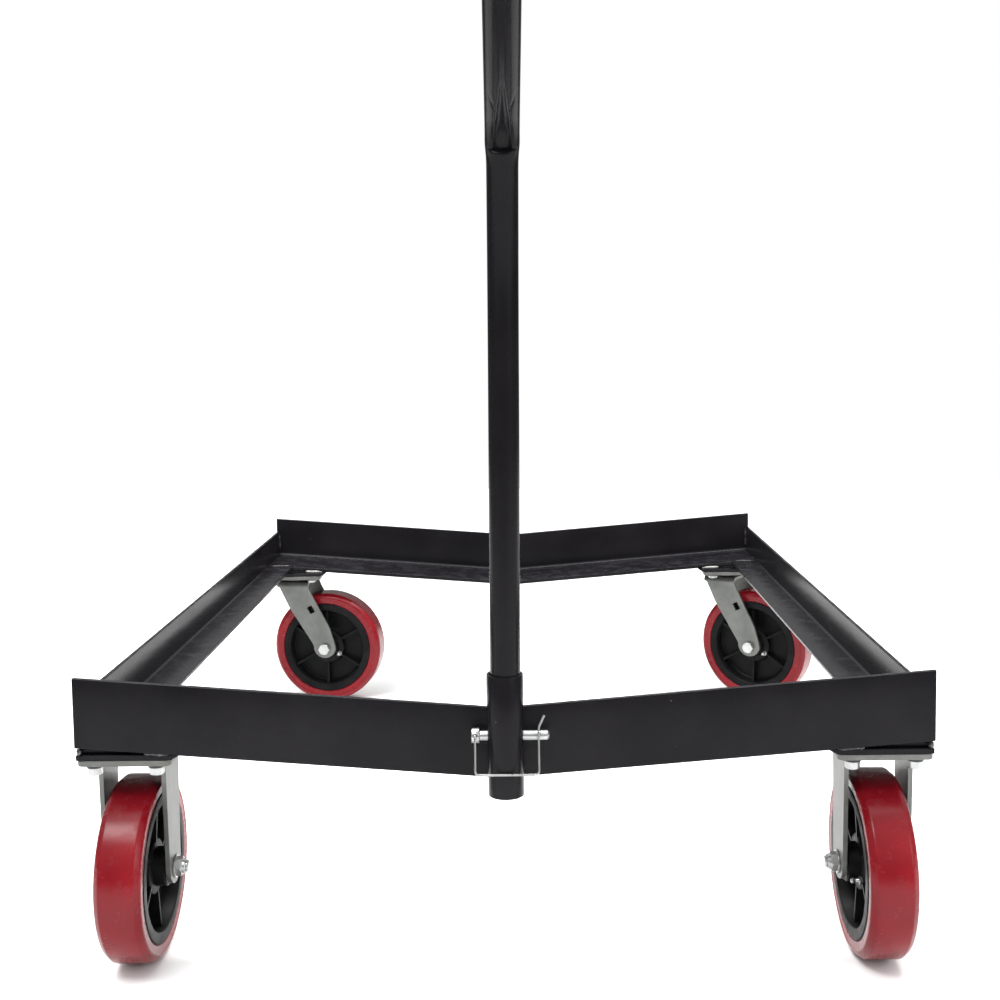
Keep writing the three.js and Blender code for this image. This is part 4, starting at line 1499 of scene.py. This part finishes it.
def wire_mesh(corners, bends, radius, sides=16):
    """Round wire along corner points, with rounded bends."""
    path = [corners[0]]
    for before, at, after, bend in zip(corners, corners[1:], corners[2:], bends):
        first, second = (before - at).normalized(), (after - at).normalized()
        reach = bend / math.tan(first.angle(second) / 2)
        start, end = at + first * reach, at + second * reach
        for k in range(9):
            t = k / 8
            path.append(start * (1 - t) ** 2 + at * (2 * t * (1 - t)) + end * t**2)
    path.append(corners[-1])
    stations = []
    side = None
    for i, centre in enumerate(path):
        tangent = (path[min(i + 1, len(path) - 1)] - path[max(i - 1, 0)]).normalized()
        if side is None:
            side = tangent.cross(Vector((0.31, 0.91, 0.27))).normalized()
        side = (side - tangent * side.dot(tangent)).normalized()
        up = tangent.cross(side)

        def place(point, centre=centre, side=side, up=up):
            return centre + side * point[0] + up * point[1]

        stations.append(place)
    return swept(ring(radius, sides), stations)


class DOLLY_OT_hitch_pin(bpy.types.Operator):
    """Build the hitch pin and its wire bail"""

    bl_idname = "dolly.hitch_pin"
    bl_label = "Hitch Pin"

    def execute(self, context):
        low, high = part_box("hitch_pin")
        socket = middle("handle_socket")
        axis_z = (low.z + high.z) / 2
        pivot = Vector(joint("bail_swing")["pos_m"])
        out = -Vector(joint("bail_swing")["axis"])
        down = Vector((0, -out.z, out.y))
        start, end = low.x, high.x
        head_radius = (high.z - low.z) / 2
        shank = PIN_RADIUS
        head_end = start + 8.5 * MM
        pin = turned(
            [(start, 0), (start, head_radius - 1.3 * MM), (start + 0.4 * MM, head_radius - 0.4 * MM),
             (start + 1.3 * MM, head_radius), (head_end - 1 * MM, head_radius),
             (head_end - 0.2 * MM, head_radius - 0.4 * MM), (head_end, head_radius - 1 * MM),
             (head_end, shank + 0.4 * MM), (head_end + 0.4 * MM, shank), (end - 2.2 * MM, shank),
             (end - 0.5 * MM, shank - 1.4 * MM), (end, shank - 2.4 * MM), (end, 0)], 64,
        )
        hole = cross_hole(1.65 * MM, 20 * MM, 24)
        lay = out.to_track_quat("X", "Z").to_matrix().to_4x4()
        hole = moved(hole, Matrix.Translation((pivot.x, 0, 0)) @ lay)
        mesh = carve(pin, [hole], "DIFFERENCE")
        finish_piece(
            "pin_turned", mesh, materials["bright"], "hitch_pin", ["hitch_pin"],
            Matrix.Translation((0, socket.y, axis_z)),
        )

        def at(x, fall, proud):
            return pivot + Vector((x, 0, 0)) + down * fall + out * proud

        reach, drop, width, rise = 9.8 * MM, 40 * MM, 66 * MM, 20 * MM
        corners = [
            at(0, 0, -head_radius - 2.5 * MM), at(0, 0, reach), at(0, drop, reach), at(width, drop, reach),
            at(width, -8 * MM, reach), at(width + 6 * MM, -rise, reach),
        ]
        finish_piece(
            "bail_wire", wire_mesh(corners, BAIL_BENDS, WIRE_RADIUS), materials["bright"], "pin_bail",
            ["pin_bail"], sharp=50,
        )
        return {"FINISHED"}


# ---- Stage --------------------------------------------------------------------------------


def area_light(name, place, target, size, power):
    """Soft rectangular light aimed at a point."""
    lamp = bpy.data.lights.new(name, "AREA")
    lamp.shape = "RECTANGLE"
    lamp.size, lamp.size_y = size
    lamp.energy = power
    made = bpy.data.objects.new(name, lamp)
    bpy.context.scene.collection.objects.link(made)
    made.location = place
    made.rotation_euler = (Vector(target) - Vector(place)).to_track_quat("-Z", "Y").to_euler()
    return made


class DOLLY_OT_stage(bpy.types.Operator):
    """Lay the floor and set the lights and the camera"""

    bl_idname = "dolly.stage"
    bl_label = "Stage"

    def execute(self, context):
        scene = context.scene
        settings = scene.dolly_stage
        floor = as_object("floor", block((7, 7, 0.02), (0, 0.4, -0.0105)))
        s = Shader("plain_floor")
        s.dress(Base_Color=tuple(settings.floor_colour), Roughness=0.75, Specular_IOR_Level=0.1)
        floor.data.materials.append(s.material)
        self.light_room(scene)
        self.set_camera(scene, settings)
        scene.view_settings.view_transform = "Standard"
        return {"FINISHED"}

    def light_room(self, scene):
        """White surround, dimmer low down in what the metal reflects."""
        world = bpy.data.worlds.new("studio")
        world.use_nodes = True
        nodes, links = world.node_tree.nodes, world.node_tree.links
        background = nodes["Background"]
        path = nodes.new("ShaderNodeLightPath")
        place = nodes.new("ShaderNodeTexCoord")
        parts = nodes.new("ShaderNodeSeparateXYZ")
        height = nodes.new("ShaderNodeMapRange")
        choice = nodes.new("ShaderNodeMix")
        choice.data_type = "FLOAT"
        links.new(place.outputs["Generated"], parts.inputs[0])
        links.new(parts.outputs["Z"], height.inputs["Value"])
        for key, value in (("From Min", -0.05), ("From Max", 0.9), ("To Min", 0.1), ("To Max", 1.5)):
            height.inputs[key].default_value = value
        links.new(path.outputs["Is Camera Ray"], choice.inputs[0])
        links.new(height.outputs[0], choice.inputs[2])
        choice.inputs[3].default_value = 1.0
        links.new(choice.outputs[0], background.inputs["Strength"])
        background.inputs["Color"].default_value = (1, 1, 1, 1)
        scene.world = world
        area_light("key_softbox", (-1.2, -2.0, 3.3), (0, 0.2, 0.2), (1.8, 0.9), 95)
        area_light("fill_softbox", (2.6, -2.4, 1.6), (0, 0.2, 0.2), (1.6, 1.6), 40)
        area_light("top_softbox", (0.0, 0.6, 3.6), (0, 0.2, 0.0), (3.2, 3.2), 70)
        area_light("overhead_strip", (0.0, 0.3, 2.4), (0, 0.45, 0.2), (3.0, 0.3), 90)

    def set_camera(self, scene, settings):
        """Camera at hand height in front of the handle."""
        data = bpy.data.cameras.new("camera")
        data.sensor_width = 36
        data.lens = settings.lens
        data.shift_y = settings.drop
        camera = bpy.data.objects.new("camera", data)
        scene.collection.objects.link(camera)
        rail_low, rail_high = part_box("front_cross_rail")
        centre = (rail_low.x + rail_high.x) / 2
        camera.location = (
            centre + settings.camera_aside, rail_low.y - settings.camera_back, settings.camera_height,
        )
        yaw, pitch, roll = settings.yaw, settings.pitch, settings.roll
        look = Vector((-math.sin(yaw) * math.cos(pitch), math.cos(yaw) * math.cos(pitch), -math.sin(pitch)))
        right = Vector((math.cos(yaw), math.sin(yaw), 0))
        up = right.cross(look)
        rolled_right = right * math.cos(roll) + up * math.sin(roll)
        rolled_up = up * math.cos(roll) - right * math.sin(roll)
        camera.rotation_mode = "QUATERNION"
        turn = frame_matrix(rolled_right, rolled_up, -look, Vector((0, 0, 0)))
        camera.rotation_quaternion = turn.to_quaternion()
        scene.camera = camera


# ---- Panel and registration ---------------------------------------------------------------


SETTINGS = {
    "dolly_paint": DollyPaintSettings,
    "dolly_wheel": DollyWheelSettings,
    "dolly_metal": DollyMetalSettings,
    "dolly_handle": DollyHandleSettings,
    "dolly_stage": DollyStageSettings,
}

STEPS = (
    DOLLY_OT_finishes,
    DOLLY_OT_cross_rails,
    DOLLY_OT_side_rails,
    DOLLY_OT_mount_plates,
    DOLLY_OT_welds,
    DOLLY_OT_mount_bolts,
    DOLLY_OT_wheels,
    DOLLY_OT_forks,
    DOLLY_OT_caster_plates,
    DOLLY_OT_axles,
    DOLLY_OT_socket,
    DOLLY_OT_post,
    DOLLY_OT_grips,
    DOLLY_OT_hitch_pin,
    DOLLY_OT_stage,
)


class DOLLY_PT_build(bpy.types.Panel):
    """Sidebar panel with the dolly's settings and building steps"""

    bl_idname = "DOLLY_PT_build"
    bl_label = "Drum Dolly"
    bl_space_type = "VIEW_3D"
    bl_region_type = "UI"
    bl_category = "Drum Dolly"

    def draw(self, context):
        column = self.layout.column(align=True)
        for name, group in SETTINGS.items():
            for key in group.__annotations__:
                column.prop(getattr(context.scene, name), key)
        for step in STEPS:
            column.operator(step.bl_idname)


def register():
    for cls in (*SETTINGS.values(), *STEPS, DOLLY_PT_build):
        bpy.utils.register_class(cls)
    for name, group in SETTINGS.items():
        setattr(bpy.types.Scene, name, bpy.props.PointerProperty(type=group))


def unregister():
    for name in SETTINGS:
        delattr(bpy.types.Scene, name)
    for cls in reversed((*SETTINGS.values(), *STEPS, DOLLY_PT_build)):
        bpy.utils.unregister_class(cls)


def main():
    register()
    for step in STEPS:
        group, name = step.bl_idname.split(".")
        getattr(getattr(bpy.ops, group), name)()


if __name__ == "__main__":
    main()
